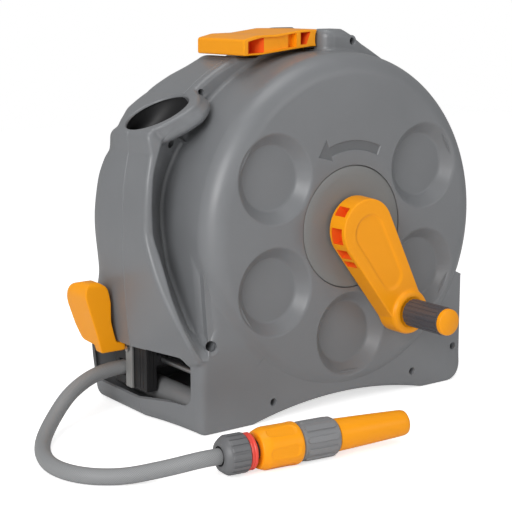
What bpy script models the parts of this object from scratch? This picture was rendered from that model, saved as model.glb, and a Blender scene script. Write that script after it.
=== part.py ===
"""Enclosed garden hose reel with crank, carry handle, hose guide and nozzle.

The reel frame has the drum axis along Y at x = 0, the front of the drum cover at y = 0 and the
floor at z = 0. An empty moves that frame, so that the origin is at the middle of the reel's base.
"""
import bpy
import bmesh
import math
from mathutils import Matrix, Vector

# Gaps between touching pieces
GAP = 0.0003
WALL = 0.003

# Drum axis and the main planes of the housing
AXIS_Z = 0.202
FACE_Y = 0.0
SPLIT_Y = 0.097
REAR_Y = 0.200

# Round drum cover
COVER_RADIUS = 0.188
COVER_FILLET = 0.025
DIMPLE_PITCH = 0.120
DIMPLE_RADIUS = 0.048
DIMPLE_FLOOR_RADIUS = 0.035
DIMPLE_DEPTH = 0.013
DIMPLE_ANGLES = (30, 150, 210, 270, 330)

# Base block, with two feet and a low arch between them
BASE_PLANE_Y = 0.003
BASE_RIGHT_X = 0.174
BASE_LEFT_X = -0.200
BASE_SHELF_Z = 0.075
BASE_CORNER = 0.020
ARCH_LEFT_X = -0.130
ARCH_RIGHT_X = 0.113
ARCH_HEIGHT = 0.015

# Rim of the housing at the split plane
RIM_RADIUS = 0.205
RIM_SHOULDER_RADIUS = 0.212
RIM_FRONT_Y = 0.085
RECESS_RADIUS = 0.192
RECESS_START = 91.2
RECESS_END = 115.5
RECESS_STEP = 1.5
SIDE_LEFT_X = -0.232
SIDE_BASE_LEFT_X = -0.213
SIDE_BASE_RIGHT_X = 0.186
SIDE_RIGHT_X = 0.198
SIDE_END_Y = 0.140

# Ridge and groove on the left of the drum cover
GROOVE_FLOOR_Y = 0.092
GROOVE_START = 153.5
RIDGE_Y = 0.057
SCOOP_Z = 0.081
BASE_WALL_EDGE = 0.012

# Boss around the nozzle hole
SOCKET_X = -0.188
SOCKET_Z = 0.330
SOCKET_TILT = math.radians(26.5)
SOCKET_BORE = 0.0356
SOCKET_RIM = 0.041
SOCKET_WALL = 0.002
SOCKET_SEAT = 0.003
SOCKET_CLEARANCE = 0.0008
SOCKET_NECK_RADIUS = 0.019
SOCKET_NECK = (-0.196, 0.126, 0.300)
SOCKET_END_RADIUS = 0.015
SOCKET_END = (-0.201, 0.131, 0.225)
BOSS_FRONT_Y = 0.052

# Ear that carries the handle
EAR_LEFT_X = -0.004
EAR_TOP_Z = 0.4135
EAR_FRONT_Y = 0.045
EAR_END = 54

# Opening for the hose, low on the left side
OPENING_Y = (0.018, 0.190)
OPENING_Z = (0.029, 0.082)
OPENING_CORNER = 0.012
OPENING_LIP_X = -0.1985
OPENING_INNER_X = -0.180
OPENING_STEP_Z = 0.0715

# Screws that hold the two halves together
SCREW_BORE = 0.004
SCREW_TOWER = 0.0065
SCREW_SHOULDER_Y = 0.109
SCREW_HEAD = 0.0036
SCREW_HEAD_LENGTH = 0.003
SCREW_SHANK = 0.0017
SCREW_LENGTH = 0.024
SHORT_SHOULDER_Y = 0.099
SHORT_SCREW_LENGTH = 0.010
EAR_SHOULDER_Y = 0.086
EAR_SCREW = (0.035, 0.400)
SOCKET_SCREW = (-0.182, 0.297)
RIM_SCREW = (-0.140, 0.348)
SCOOP_SCREW = (-0.182, 0.0945)
BASE_SCREWS = ((-0.104, 0.021), (0.096, 0.022), (0.160, 0.042))
RIM_SCREW_ANGLES = (-4, 36)
RIM_SCREW_RADIUS = 0.1963

# Drum
DRUM_RADIUS = 0.172
DRUM_FRONT_Y = 0.034
DRUM_REAR_Y = 0.155
FLANGE = 0.003
CORE_RADIUS = 0.060
CORE_WALL = 0.004
FRONT_JOURNAL = 0.0600
REAR_JOURNAL = 0.0200
REAR_RECESS_RADIUS = 0.034
REAR_RECESS_Y = 0.176
BUSH_WALL = 0.005
BUSH_LENGTH = 0.010
COLLAR_WALL = 0.004
HUB_RADIUS = 0.067
HUB_THICK = 0.0031

# Hose
HOSE_RADIUS = 0.008
PACK_RADIUS = 0.147

# Crank
CRANK_ANGLE = math.radians(-58)
CRANK_THROW = 0.116
CRANK_HUB_RADIUS = 0.035
CRANK_TIP_RADIUS = 0.023
CRANK_FRONT_Y = -0.028
CRANK_BACK_Y = -0.0035
CRANK_BOSS_RADIUS = 0.025
CRANK_BOSS_Y = -0.032
CRANK_FOOT_RADIUS = 0.024
CRANK_POCKETS = 4
KNOB_RADIUS = 0.0155
KNOB_BORE = 0.0054
KNOB_LENGTH = 0.053
KNOB_CAP_RADIUS = 0.0145
KNOB_CAP_LENGTH = 0.006
KNOB_PIN = 0.005

# Carry handle
HANDLE_Y = (0.057, 0.145)
HANDLE_LEFT_X = -0.104
HANDLE_PIVOT = (0.014, 0.4025)
KNUCKLE_RADIUS = 0.0100
KNUCKLE_Y = (0.066, 0.139)
HANDLE_PIN = 0.003
HANDLE_POCKET_DEPTH = 0.030

# Hose guide
GUIDE_X = (-0.213, -0.199)
GUIDE_Y = (0.0855, 0.150)
GUIDE_Z = (0.0305, 0.078)
HOSE_EYE_Y = 0.133
HOSE_EYE_Z = 0.049
EYE_CLEARANCE = 0.0006
BRACKET_Y = (0.110, 0.1225)
BRACKET_THICK = 0.003
GUIDE_SCREW_Z = 0.074
GUIDE_SCREW_HEAD = 0.0034
RAIL_X = -0.191
RAIL_Z = 0.0645
RAIL_RADIUS = 0.0035
SLEEVE_WALL = 0.0028
ROLLER_X = -0.184
ROLLER_Z = 0.0275
ROLLER_RADIUS = 0.013
ROLLER_BORE = 0.0045
ROLLER_Y = (0.024, 0.186)
AXLE_RADIUS = 0.004
LEVER_X = (-0.262, -0.2335)
LEVER_Y = (0.1205, 0.166)
LEVER_FOOT_Y = 0.142
LEVER_TOP_Z = 0.147
ARM_Z = (0.062, 0.0790)

# Nozzle lying on the floor
NOZZLE_START = (-0.249, -0.105)
NOZZLE_TURN = math.radians(-7)
NUT_RADIUS = 0.0195
NUT_LENGTH = 0.026
RING_RADIUS = 0.0185
RING_LENGTH = 0.012
BODY_RADIUS = 0.0215
BODY_LENGTH = 0.046
BODY_TRAVEL = 0.003
GRIP_RADIUS = 0.0200
GRIP_LENGTH = 0.042
BARREL_START_RADIUS = 0.0165
BARREL_END_RADIUS = 0.0130
BARREL_LENGTH = 0.086
BARREL_BORE = 0.006

# Extent of the reel without the free hose, which sets the origin
EXTENT_X = (LEVER_X[0], RIM_RADIUS)
KNOB_FRONT_Y = CRANK_BOSS_Y - GAP - KNOB_LENGTH - GAP - KNOB_CAP_LENGTH
EXTENT_Y = (KNOB_FRONT_Y, REAR_Y)
ORIGIN = Vector((-sum(EXTENT_X) / 2, -sum(EXTENT_Y) / 2, 0))

# Closest points that stay apart, and the bend below which two facets are one plane
WELD = 0.00001
FLAT_ANGLE = math.radians(0.01)

# Facets around a full circle for large and small round pieces
ROUND = 48
SMALL_ROUND = 16


def clear_scene():
    for item in list(bpy.context.scene.objects):
        bpy.data.objects.remove(item)


def make_material(name, colour, roughness, metallic=0.0):
    finish = bpy.data.materials.new(name)
    finish.use_nodes = True
    shader = finish.node_tree.nodes["Principled BSDF"]
    shader.inputs["Base Color"].default_value = (*colour, 1)
    shader.inputs["Roughness"].default_value = roughness
    shader.inputs["Metallic"].default_value = metallic
    finish.diffuse_color = (*colour, 1)
    return finish


def make_mesh(name, points, faces):
    mesh = bpy.data.meshes.new(name)
    mesh.from_pydata([tuple(p) for p in points], [], faces)
    work = bmesh.new()
    work.from_mesh(mesh)
    bmesh.ops.recalc_face_normals(work, faces=work.faces)
    work.to_mesh(mesh)
    work.free()
    return mesh


def make_object(name, mesh, finish=None, parent=None):
    item = bpy.data.objects.new(name, mesh)
    bpy.context.scene.collection.objects.link(item)
    if finish:
        mesh.materials.clear()
        mesh.materials.append(finish)
    item.parent = parent
    return item


def set_origin(item, place):
    """Moves an object's origin to a place in the reel frame and leaves its shape where it was."""
    item.data.transform(Matrix.Translation(-Vector(place)))
    item.location = place


def finish_round(item, angle=22):
    item.data.shade_smooth()
    item.data.set_sharp_from_angle(angle=math.radians(angle))


def boolean(target, tool, operation):
    """Applies one boolean between two objects that share the world frame, and removes the tool."""
    step = target.modifiers.new(operation.lower(), "BOOLEAN")
    step.operation = operation
    step.solver = "EXACT"
    step.object = tool
    bpy.context.view_layer.update()
    evaluated = target.evaluated_get(bpy.context.evaluated_depsgraph_get())
    result = bpy.data.meshes.new_from_object(evaluated)
    target.modifiers.clear()
    tidy(result)
    target.data = result
    bpy.data.objects.remove(tool)
    return target


def tidy(mesh):
    """Closes hairline slivers and joins facets that lie in one plane."""
    work = bmesh.new()
    work.from_mesh(mesh)
    bmesh.ops.remove_doubles(work, verts=work.verts, dist=WELD)
    bmesh.ops.dissolve_degenerate(work, edges=work.edges, dist=WELD)
    bmesh.ops.dissolve_limit(work, angle_limit=FLAT_ANGLE, verts=work.verts, edges=work.edges)
    work.to_mesh(mesh)
    work.free()


def cut(target, tool):
    return boolean(target, tool, "DIFFERENCE")


def join(target, tool):
    return boolean(target, tool, "UNION")


def turned(name, profile, centre=(0, 0, 0), axis="Y", segments=ROUND):
    """Closed solid turned from a closed (radius, along) profile; points of radius 0 are poles."""
    points = []
    rings = []
    for radius, along in profile:
        if radius < 1e-7:
            rings.append([len(points)] * segments)
            points.append(axis_point(axis, 0, 0, along))
            continue
        rings.append(list(range(len(points), len(points) + segments)))
        for step in range(segments):
            angle = 2 * math.pi * step / segments
            points.append(axis_point(axis, radius * math.cos(angle), radius * math.sin(angle), along))
    faces = []
    for index in range(len(rings)):
        first = rings[index]
        second = rings[(index + 1) % len(rings)]
        if first[0] == first[1] and second[0] == second[1]:
            continue
        for step in range(segments):
            after = (step + 1) % segments
            corners = []
            for corner in (first[step], first[after], second[after], second[step]):
                if corner not in corners:
                    corners.append(corner)
            faces.append(corners)
    points = [Vector(p) + Vector(centre) for p in points]
    return make_object(name, make_mesh(name, points, faces))


def axis_point(axis, across, up, along):
    if axis == "Y":
        return Vector((across, along, up))
    if axis == "X":
        return Vector((along, across, up))
    return Vector((across, up, along))


def rod(name, centre, radius, along, axis="Y", segments=SMALL_ROUND):
    """Plain round bar from along[0] to along[1] on an axis through centre."""
    profile = [(0, along[0]), (radius, along[0]), (radius, along[1]), (0, along[1])]
    return turned(name, profile, centre, axis, segments)


def tube(name, centre, inner, outer, along, axis="Y", segments=ROUND):
    profile = [(inner, along[0]), (outer, along[0]), (outer, along[1]), (inner, along[1])]
    return turned(name, profile, centre, axis, segments)


def prism(name, outline, low, high, axis="Y"):
    """Extrudes a closed outline of (first, second) points along an axis."""
    count = len(outline)
    points = [axis_point(axis, a, b, low) for a, b in outline]
    points += [axis_point(axis, a, b, high) for a, b in outline]
    faces = [list(range(count)), list(range(2 * count - 1, count - 1, -1))]
    for index in range(count):
        after = (index + 1) % count
        faces.append([index, after, count + after, count + index])
    return make_object(name, make_mesh(name, points, faces))


def block(name, x_span, y_span, z_span):
    outline = [(x_span[0], z_span[0]), (x_span[1], z_span[0]), (x_span[1], z_span[1]), (x_span[0], z_span[1])]
    return prism(name, outline, y_span[0], y_span[1])


def rounded(corners, steps=4):
    """Outline with arcs at its corners; each corner is (across, up, radius)."""
    outline = []
    count = len(corners)
    for index, (a, b, radius) in enumerate(corners):
        here = Vector((a, b))
        if radius <= 0:
            outline.append(here)
            continue
        before = Vector(corners[index - 1][:2]) - here
        after = Vector(corners[(index + 1) % count][:2]) - here
        half = before.angle(after) / 2
        reach = radius / math.tan(half)
        reach = min(reach, 0.49 * before.length, 0.49 * after.length)
        bend = reach * math.tan(half)
        middle = here + (before.normalized() + after.normalized()).normalized() * bend / math.sin(half)
        start = here + before.normalized() * reach - middle
        end = here + after.normalized() * reach - middle
        sweep = start.angle_signed(end)
        for step in range(steps + 1):
            spin = Matrix.Rotation(-sweep * step / steps, 2)
            outline.append(middle + spin @ start)
    return [(p[0], p[1]) for p in outline]


def arc(radius_start, radius_end, first, last, steps):
    """Points about the drum axis, whose radius changes evenly from one angle to another."""
    points = []
    for step in range(steps + 1):
        share = step / steps
        angle = math.radians(first + (last - first) * share)
        radius = radius_start + (radius_end - radius_start) * share
        points.append((radius * math.cos(angle), AXIS_Z + radius * math.sin(angle), 0))
    return points


def arch_points():
    points = []
    middle = (ARCH_LEFT_X + ARCH_RIGHT_X) / 2
    half = (ARCH_RIGHT_X - ARCH_LEFT_X) / 2
    for step in range(9):
        share = -1 + step / 4
        points.append((middle + share * half, ARCH_HEIGHT * (1 - share * share), 0))
    return points


def left_side(base_x, points):
    return [(base_x + shift, z, 0) for shift, z in points]


def socket_edge(side):
    """End of the straight rim of the nozzle hole, left (-1) or right (+1) of its middle."""
    reach = side * SOCKET_RIM
    x = SOCKET_X + reach * math.cos(SOCKET_TILT)
    return (x, SOCKET_Z + reach * math.sin(SOCKET_TILT), 0.004)


# Left side of the housing at the split plane: how far it stands in from its widest line, and height
SIDE_CURVE = ((0.009, 0.290), (0.003, 0.258), (0, 0.212), (0.001, 0.160), (0.004, 0.110), (0.010, 0.060))

# Left side of the ridge and of the base's front corner: distance in from the widest line, and height
RIDGE_CURVE = ((0.010, 0.290), (0.003, 0.258), (0, 0.215), (0.001, 0.175), (0.008, 0.137), (0.020, 0.100))


def split_outline():
    slope_start = (0.037, 0.407, 0.008)
    points = [(SIDE_BASE_RIGHT_X, 0, BASE_CORNER), (SIDE_RIGHT_X, 0.080, 0.060)]
    points += arc(RIM_RADIUS, RIM_RADIUS, -10, 75.6, 16)
    points += [slope_start, (0.024, EAR_TOP_Z, 0.008), (EAR_LEFT_X, EAR_TOP_Z, 0.002)]
    points += arc(RECESS_RADIUS, RECESS_RADIUS, RECESS_START, RECESS_END, 5)
    points += arc(RIM_RADIUS, RIM_SHOULDER_RADIUS, RECESS_END + RECESS_STEP, 137, 5)
    points += [socket_edge(1), socket_edge(-1)]
    points += left_side(SIDE_LEFT_X, SIDE_CURVE)
    points += [(SIDE_BASE_LEFT_X, 0, 0.014)]
    points += arch_points()
    return rounded(points)


def front_outline():
    points = [(BASE_RIGHT_X, 0, BASE_CORNER)]
    points += arc(COVER_RADIUS, COVER_RADIUS, -22.2, 135, 12)
    points += [socket_edge(1), socket_edge(-1)]
    points += left_side(SIDE_LEFT_X, RIDGE_CURVE)
    points += [(BASE_LEFT_X, BASE_SHELF_Z - 0.003, 0), (BASE_LEFT_X, 0, 0.010)]
    points += arch_points()
    return rounded(points)


def ear_outline():
    points = [(0.117, 0.353, 0), (0.037, 0.407, 0.008), (0.024, EAR_TOP_Z, 0.008)]
    points += [(EAR_LEFT_X, EAR_TOP_Z, 0.002), (EAR_LEFT_X, AXIS_Z, 0), (0.117, AXIS_Z, 0)]
    return rounded(points)


def reach(outline, angle):
    """Distance from the drum axis to an outline, at an angle in degrees."""
    direction = Vector((math.cos(math.radians(angle)), math.sin(math.radians(angle))))
    best = 0.0
    for index, (x, z) in enumerate(outline):
        start = Vector((x, z - AXIS_Z))
        after = outline[(index + 1) % len(outline)]
        edge = Vector((after[0], after[1] - AXIS_Z)) - start
        turn = direction.cross(edge)
        if abs(turn) < 1e-12:
            continue
        along = start.cross(edge) / turn
        share = start.cross(direction) / turn
        if along > 0 and -1e-6 <= share <= 1 + 1e-6:
            best = max(best, along)
    return best


def key_slope(keys, index):
    """Slope of the smooth line at one of its keys, level at the ends and at highs and lows."""
    if index in (0, len(keys) - 1):
        return 0.0
    (first, low), (middle, value), (last, high) = keys[index - 1:index + 2]
    before = (value - low) / (middle - first)
    after = (high - value) / (last - middle)
    if before * after <= 0:
        return 0.0
    return 2 * before * after / (before + after)


def eased(keys, place):
    """Value at a place on a smooth line through (place, value) keys, which overshoots none of them."""
    if place <= keys[0][0]:
        return keys[0][1]
    for index, ((first, low), (last, high)) in enumerate(zip(keys, keys[1:])):
        if place <= last:
            span = last - first
            share = (place - first) / span
            start = key_slope(keys, index) * span
            end = key_slope(keys, index + 1) * span
            value = low * (1 + 2 * share) * (1 - share) ** 2 + high * (3 - 2 * share) * share ** 2
            return value + start * share * (1 - share) ** 2 - end * (1 - share) * share ** 2
    return keys[-1][1]


# Angles run from the right shoulder of the base, round the top, to the same shoulder again
TURN_START = -22.0
TURN_END = 338.0
GROOVE_END = 212.7

# Depth of the foremost plane outside the drum cover
CREST_KEYS = (
    (53.5, RIM_FRONT_Y), (54.5, EAR_FRONT_Y), (91.0, EAR_FRONT_Y), (91.3, RIM_FRONT_Y),
    (135.5, RIM_FRONT_Y), (140, BOSS_FRONT_Y), (152, BOSS_FRONT_Y), (162, RIDGE_Y - 0.001),
    (171, RIDGE_Y), (179, 0.049), (188, 0.030), (196, 0.013), (205, 0.0045), (212, BASE_PLANE_Y),
    (336.6, BASE_PLANE_Y), (338, RIM_FRONT_Y))

# Rounding of the outer edge of that plane
EDGE_KEYS = (
    (50, 0.003), (55, 0.004), (90, 0.004), (92, 0.003), (135, 0.004), (142, 0.007), (150, 0.007),
    (165, 0.005), (200, 0.005), (212, 0.014), (223, 0.014), (227, 0.004), (310, 0.004), (316, 0.008),
    (336, 0.008))

# Inner wall of the ridge, which is the outer wall of the groove, and the depth of the groove's floor
GROOVE_KEYS = ((153.5, 0.209), (160, 0.214), (180, 0.219), (196, 0.2225), (205, 0.2265), (213, 0.2285))
FLOOR_KEYS = (
    (153.5, GROOVE_FLOOR_Y), (164, GROOVE_FLOOR_Y), (171, 0.0905), (177.3, 0.087), (188.5, 0.078),
    (195.7, 0.063), (202.5, 0.045), (206.3, 0.031), (209.4, 0.017), (GROOVE_END, 0.005))

# Front plane of the base, by height: it leans back where it runs up beside the drum cover
LEAN_KEYS = (
    (0.085, BASE_PLANE_Y), (0.110, 0.006), (0.140, 0.010), (0.165, 0.013), (0.190, 0.018), (AXIS_Z, 0.022))

# Rounding between the side and the rear face
REAR_EDGE_KEYS = (
    (-22, 0.030), (0, 0.055), (40, 0.060), (112, 0.060), (122, 0.064), (130, 0.052), (137, 0.044),
    (144, 0.052), (149, 0.074), (153, 0.090), (157, 0.088), (161, 0.077), (168, 0.065), (178, 0.059),
    (192, 0.066), (199, 0.052), (205, 0.030), (216, 0.016), (222, 0.014),
    (229, 0.005), (312, 0.005), (318, 0.014), (338, 0.030))

# Angles where the outline or the groove changes at once
FEATURE_ANGLES = (
    53.5, 54.5, 75.6, 79.5, 83.5, 91.0, 91.3, RECESS_END, RECESS_END + RECESS_STEP, 137, 138.5, 151,
    153.3, 153.7, 158, 180, 188.5, 196, 202, 206, 209.4, 211.5, 212.5, 213, 218, 222, 223, 224.5, 226.5, 229,
    237.2, 299.2, 303, 307, 311, 315, 336.6)


def turn_angles(step):
    angles = []
    for index in range(int(360 / step)):
        angle = TURN_START + index * step
        if all(abs(angle - feature) > 0.4 * step for feature in FEATURE_ANGLES):
            angles.append(angle)
    return sorted(angles + list(FEATURE_ANGLES))


def base_wall_reach(angle):
    """Radius of the wall beside the groove: the drum cover, and below the axis the base's upright wall."""
    if angle <= 180 or angle > 250:
        return COVER_RADIUS
    return COVER_RADIUS / -math.cos(math.radians(angle))


def lean_depth(radius, angle):
    """Depth of the base's front plane at a point on it."""
    return eased(LEAN_KEYS, AXIS_Z + radius * math.sin(math.radians(angle)))


def crease_reach(angle):
    """Radius where the drum cover's rounded edge meets the base's front plane."""
    flat = COVER_RADIUS - COVER_FILLET
    radius = flat
    for step in range(6):
        level = 1 - lean_depth(radius, angle) / COVER_FILLET
        radius = flat + COVER_FILLET * math.sqrt(1 - level * level)
    return radius


def groove_reach(angle):
    """Radius of the groove's outer wall, or 0 where there is no groove."""
    if not GROOVE_START <= angle <= GROOVE_END:
        return 0.0
    scoop = (AXIS_Z - SCOOP_Z) / max(-math.sin(math.radians(angle)), 0.1)
    return min(eased(GROOVE_KEYS, angle), scoop)


def crest_reach(angle, split, front, ear):
    """Radius where the foremost plane outside the drum cover turns into the side."""
    if angle > GROOVE_START and angle < 337.9:
        return reach(front, angle)
    if 54 < angle < 91.1:
        return reach(ear, angle)
    return reach(split, angle)


def polar_solid(name, angles, profile_at, closed_ring):
    """Solid from one (radius, depth) profile per angle, closed at the axis or as a ring."""
    points = []
    size = 0
    for angle in angles:
        profile = profile_at(angle)
        size = len(profile)
        for radius, depth in profile:
            x = radius * math.cos(math.radians(angle))
            points.append((x, depth, AXIS_Z + radius * math.sin(math.radians(angle))))
    faces = []
    count = len(angles)
    for index in range(count):
        after = (index + 1) % count
        for step in range(size - 1 + closed_ring):
            following = (step + 1) % size
            first = index * size
            second = after * size
            faces.append([first + step, first + following, second + following, second + step])
    if not closed_ring:
        for step, flip in ((0, False), (size - 1, True)):
            depth = points[step][1]
            points.append((0, depth, AXIS_Z))
            for index in range(count):
                after = (index + 1) % count
                face = [len(points) - 1, index * size + step, after * size + step]
                faces.append(face[::-1] if flip else face)
    return make_object(name, make_mesh(name, points, faces))


def front_skin(name, angles):
    split = split_outline()
    front = front_outline()
    ear = ear_outline()
    flat_radius = COVER_RADIUS - COVER_FILLET

    def profile_at(angle):
        crest_y = eased(CREST_KEYS, angle)
        groove = groove_reach(angle)
        beside = 180 < angle < 225
        wall_end = eased(FLOOR_KEYS, angle) if groove else crest_y
        wall = base_wall_reach(angle)
        cover_end = COVER_RADIUS
        cover_depth = COVER_FILLET
        if beside:
            cover_end = crease_reach(angle)
            cover_depth = lean_depth(cover_end, angle)
        elif wall_end < COVER_FILLET:
            cover_depth = wall_end
        bend = math.acos(1 - cover_depth / COVER_FILLET)
        profile = [(HUB_RADIUS, FACE_Y), (flat_radius, FACE_Y)]
        for step in range(1, 4):
            turn = bend * step / 3
            profile.append((flat_radius + COVER_FILLET * math.sin(turn), COVER_FILLET * (1 - math.cos(turn))))
        cover_end = profile[-1][0]
        if groove and beside:
            edge = min(BASE_WALL_EDGE, wall - cover_end - 0.0004)
            front_y = lean_depth(wall, angle)
            edge = min(edge, max(wall_end - front_y - 0.0004, 0.0003))
            for turn in (0, math.pi / 4, math.pi / 2):
                place = (wall - edge + edge * math.sin(turn), front_y + edge * (1 - math.cos(turn)))
                profile.append(place)
        else:
            drop = (wall_end - profile[-1][1]) / 4
            for step in range(1, 4):
                profile.append((cover_end + step * 0.00003, profile[4][1] + drop * step))
        profile.append((profile[-1][0] + 0.0001, wall_end))
        inner = max(groove, profile[-1][0] + 0.0005)
        profile.append((inner - 0.0002, wall_end))
        lead = min(0.003, max(0.4 * (wall_end - crest_y), 0.0002))
        profile.append((inner, crest_y + lead if groove else wall_end))
        profile.append((inner + lead, crest_y))
        edge = eased(EDGE_KEYS, angle)
        outer = max(crest_reach(angle, split, front, ear), inner + lead + edge + 0.0004)
        for step in range(4):
            turn = math.pi / 2 * step / 3
            profile.append((outer - edge + edge * math.sin(turn), crest_y + edge * (1 - math.cos(turn))))
        profile.append((max(reach(split, angle), outer - 0.0001), SPLIT_Y - GAP / 2))
        return profile

    return polar_solid(name, angles, profile_at, False)


def front_ring_cavity(name, angles):
    """Hollow of the ridge, the rim and the base, outside the round hollow of the drum cover."""
    split = split_outline()
    front = front_outline()
    ear = ear_outline()
    overlap = COVER_RADIUS - 0.020

    def profile_at(angle):
        crest_y = eased(CREST_KEYS, angle) + WALL
        groove = groove_reach(angle)
        wall = base_wall_reach(angle) - WALL
        inner = groove + WALL if groove else overlap + 0.002
        front_y = crest_y
        floor_y = crest_y
        if groove:
            front_y = lean_depth(wall, angle) + WALL if angle > 180 else 2 * COVER_FILLET
            floor_y = eased(FLOOR_KEYS, angle) + WALL
        outer_front = crest_reach(angle, split, front, ear) - WALL
        outer_back = reach(split, angle) - WALL
        step_here = EAR_END - 2 < angle < RECESS_START + 0.2 or not -21.9 < angle < 336
        if step_here or outer_back < COVER_RADIUS + 0.002:
            outer_front = overlap + 0.005
            outer_back = outer_front
        edge = max(eased(EDGE_KEYS, angle) - WALL, 0.0005)
        outer_front = max(outer_front, inner + edge + 0.001)
        outer_back = max(outer_back, inner + 0.002)
        turn_in = wall if groove else overlap + 0.001
        return [(overlap, SPLIT_Y + 0.001), (overlap, front_y), (turn_in - 0.0002, front_y), (turn_in, floor_y),
                (inner - 0.0001, floor_y), (inner, crest_y), (outer_front - edge, crest_y),
                (outer_front, crest_y + edge), (outer_back, SPLIT_Y + 0.001)]

    return polar_solid(name, angles, profile_at, True)


def rear_solid(name, angles, inset, start_y):
    """Rear half, from the split plane to the rear face, drawn in by an inset all round."""
    split = split_outline()

    def profile_at(angle):
        outer = reach(split, angle) - inset
        if inset and EAR_END - 2 < angle < RECESS_START + 0.2:
            outer = COVER_RADIUS - WALL
        edge = max(eased(REAR_EDGE_KEYS, angle) - inset, 0.002)
        end = REAR_Y - inset
        profile = [(outer, start_y)]
        for step in range(5):
            turn = math.pi / 2 * step / 4
            radius = outer - edge + edge * math.cos(turn)
            profile.append((radius, end - edge + edge * math.sin(turn)))
        return profile

    return polar_solid(name, angles, profile_at, False)


def dimple(name, grow):
    """Round hollow with sloping sides, or with grow the cup behind it."""
    solids = []
    for number, angle in enumerate(DIMPLE_ANGLES):
        place = polar_point(DIMPLE_PITCH, angle)
        front = FACE_Y + (WALL / 2 if grow else -0.004)
        slope = (DIMPLE_RADIUS - DIMPLE_FLOOR_RADIUS) / DIMPLE_DEPTH
        floor = DIMPLE_DEPTH + grow
        floor_radius = DIMPLE_FLOOR_RADIUS + grow
        mouth = floor_radius + slope * (floor - front)
        profile = [(0, front), (mouth, front), (floor_radius, floor), (0, floor)]
        solids.append(turned(name + str(number), profile, place, "Y", 32))
    return solids


def polar_point(radius, angle, y=0.0):
    return (radius * math.cos(math.radians(angle)), y, AXIS_Z + radius * math.sin(math.radians(angle)))


def socket_frame():
    """Places the nozzle hole's own frame, whose Z axis points out of the hole."""
    turn = Matrix.Rotation(-SOCKET_TILT, 4, "Y")
    return Matrix.Translation((SOCKET_X, SPLIT_Y, SOCKET_Z)) @ turn


def socket_mouth(name):
    """Round hole through the rim, above the tube's own mouth."""
    mouth = rod(name, (0, 0, 0), SOCKET_BORE, (-0.010, 0.020), axis="Z", segments=24)
    mouth.data.transform(socket_frame())
    return mouth


def socket_solid(name, grow, lift):
    """Funnel of the nozzle hole: tilted mouth, neck behind the groove, and a narrow end."""
    place = socket_frame()
    sections = []
    for height, radius in ((lift, SOCKET_BORE), (-0.010, SOCKET_BORE)):
        sections.append([place @ Vector(p) for p in ring(radius + grow, height)])
    for middle, radius in ((SOCKET_NECK, SOCKET_NECK_RADIUS), (SOCKET_END, SOCKET_END_RADIUS)):
        drop = -grow if middle is SOCKET_END else 0.0
        sections.append([Vector(middle) + Vector(p) for p in ring(radius + grow, drop)])
    return loft(name, sections)


def ring(radius, height, segments=24):
    points = []
    for step in range(segments):
        angle = 2 * math.pi * step / segments
        points.append((radius * math.cos(angle), radius * math.sin(angle), height))
    return points


def loft(name, sections):
    """Closed solid through sections that all have the same number of points."""
    points = [p for section in sections for p in section]
    count = len(sections[0])
    faces = [list(range(count)), list(range(len(points) - 1, len(points) - count - 1, -1))]
    for level in range(len(sections) - 1):
        for step in range(count):
            after = (step + 1) % count
            low = level * count
            faces.append([low + step, low + after, low + count + after])
            faces.append([low + step, low + count + after, low + count + step])
    return make_object(name, make_mesh(name, points, faces))


def cut_opening(case):
    """Hole in the left side; its upper edge only pierces the wall, under the shelf it runs in further."""
    y0, y1 = OPENING_Y
    z0, z1 = OPENING_Z
    corner = OPENING_CORNER
    mouth = [(y0, z0, corner), (y1, z0, corner), (y1, z1, corner), (y0, z1, corner)]
    cut(case, prism("opening", rounded(mouth), SIDE_LEFT_X - 0.030, OPENING_LIP_X, "X"))
    step = OPENING_STEP_Z
    passage = [(y0, z0, corner), (y1, z0, corner), (y1, step, 0), (y0, step, 0)]
    cut(case, prism("passage", rounded(passage), SIDE_LEFT_X - 0.030, OPENING_INNER_X, "X"))


def knuckle_cutter(name):
    """Slot in the ear for the handle's knuckle, open to the left and to the top."""
    clear = 0.0012
    x, z = HANDLE_PIVOT
    reach_right = KNUCKLE_RADIUS + 0.003
    floor = z - KNUCKLE_RADIUS - clear
    y_span = (KNUCKLE_Y[0] - clear, KNUCKLE_Y[1] + clear)
    return block(name, (EAR_LEFT_X - 0.006, x + reach_right), y_span, (floor, EAR_TOP_Z + 0.01))


def screw_places():
    """(x, z, depth of the shoulder, shank length, front of its tower) of each case screw."""
    normal = (SCREW_SHOULDER_Y, SCREW_LENGTH)
    places = [(*SOCKET_SCREW, SHORT_SHOULDER_Y, SHORT_SCREW_LENGTH, GROOVE_FLOOR_Y)]
    places.append((*RIM_SCREW, *normal, GROOVE_FLOOR_Y))
    places.append((*SCOOP_SCREW, *normal, BASE_PLANE_Y + WALL))
    places += [(x, z, *normal, BASE_PLANE_Y) for x, z in BASE_SCREWS]
    for angle in RIM_SCREW_ANGLES:
        x, y, z = polar_point(RIM_SCREW_RADIUS, angle)
        places.append((x, z, *normal, RIM_FRONT_Y))
    places.append((*EAR_SCREW, EAR_SHOULDER_Y, SCREW_LENGTH, EAR_FRONT_Y))
    return places


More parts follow.
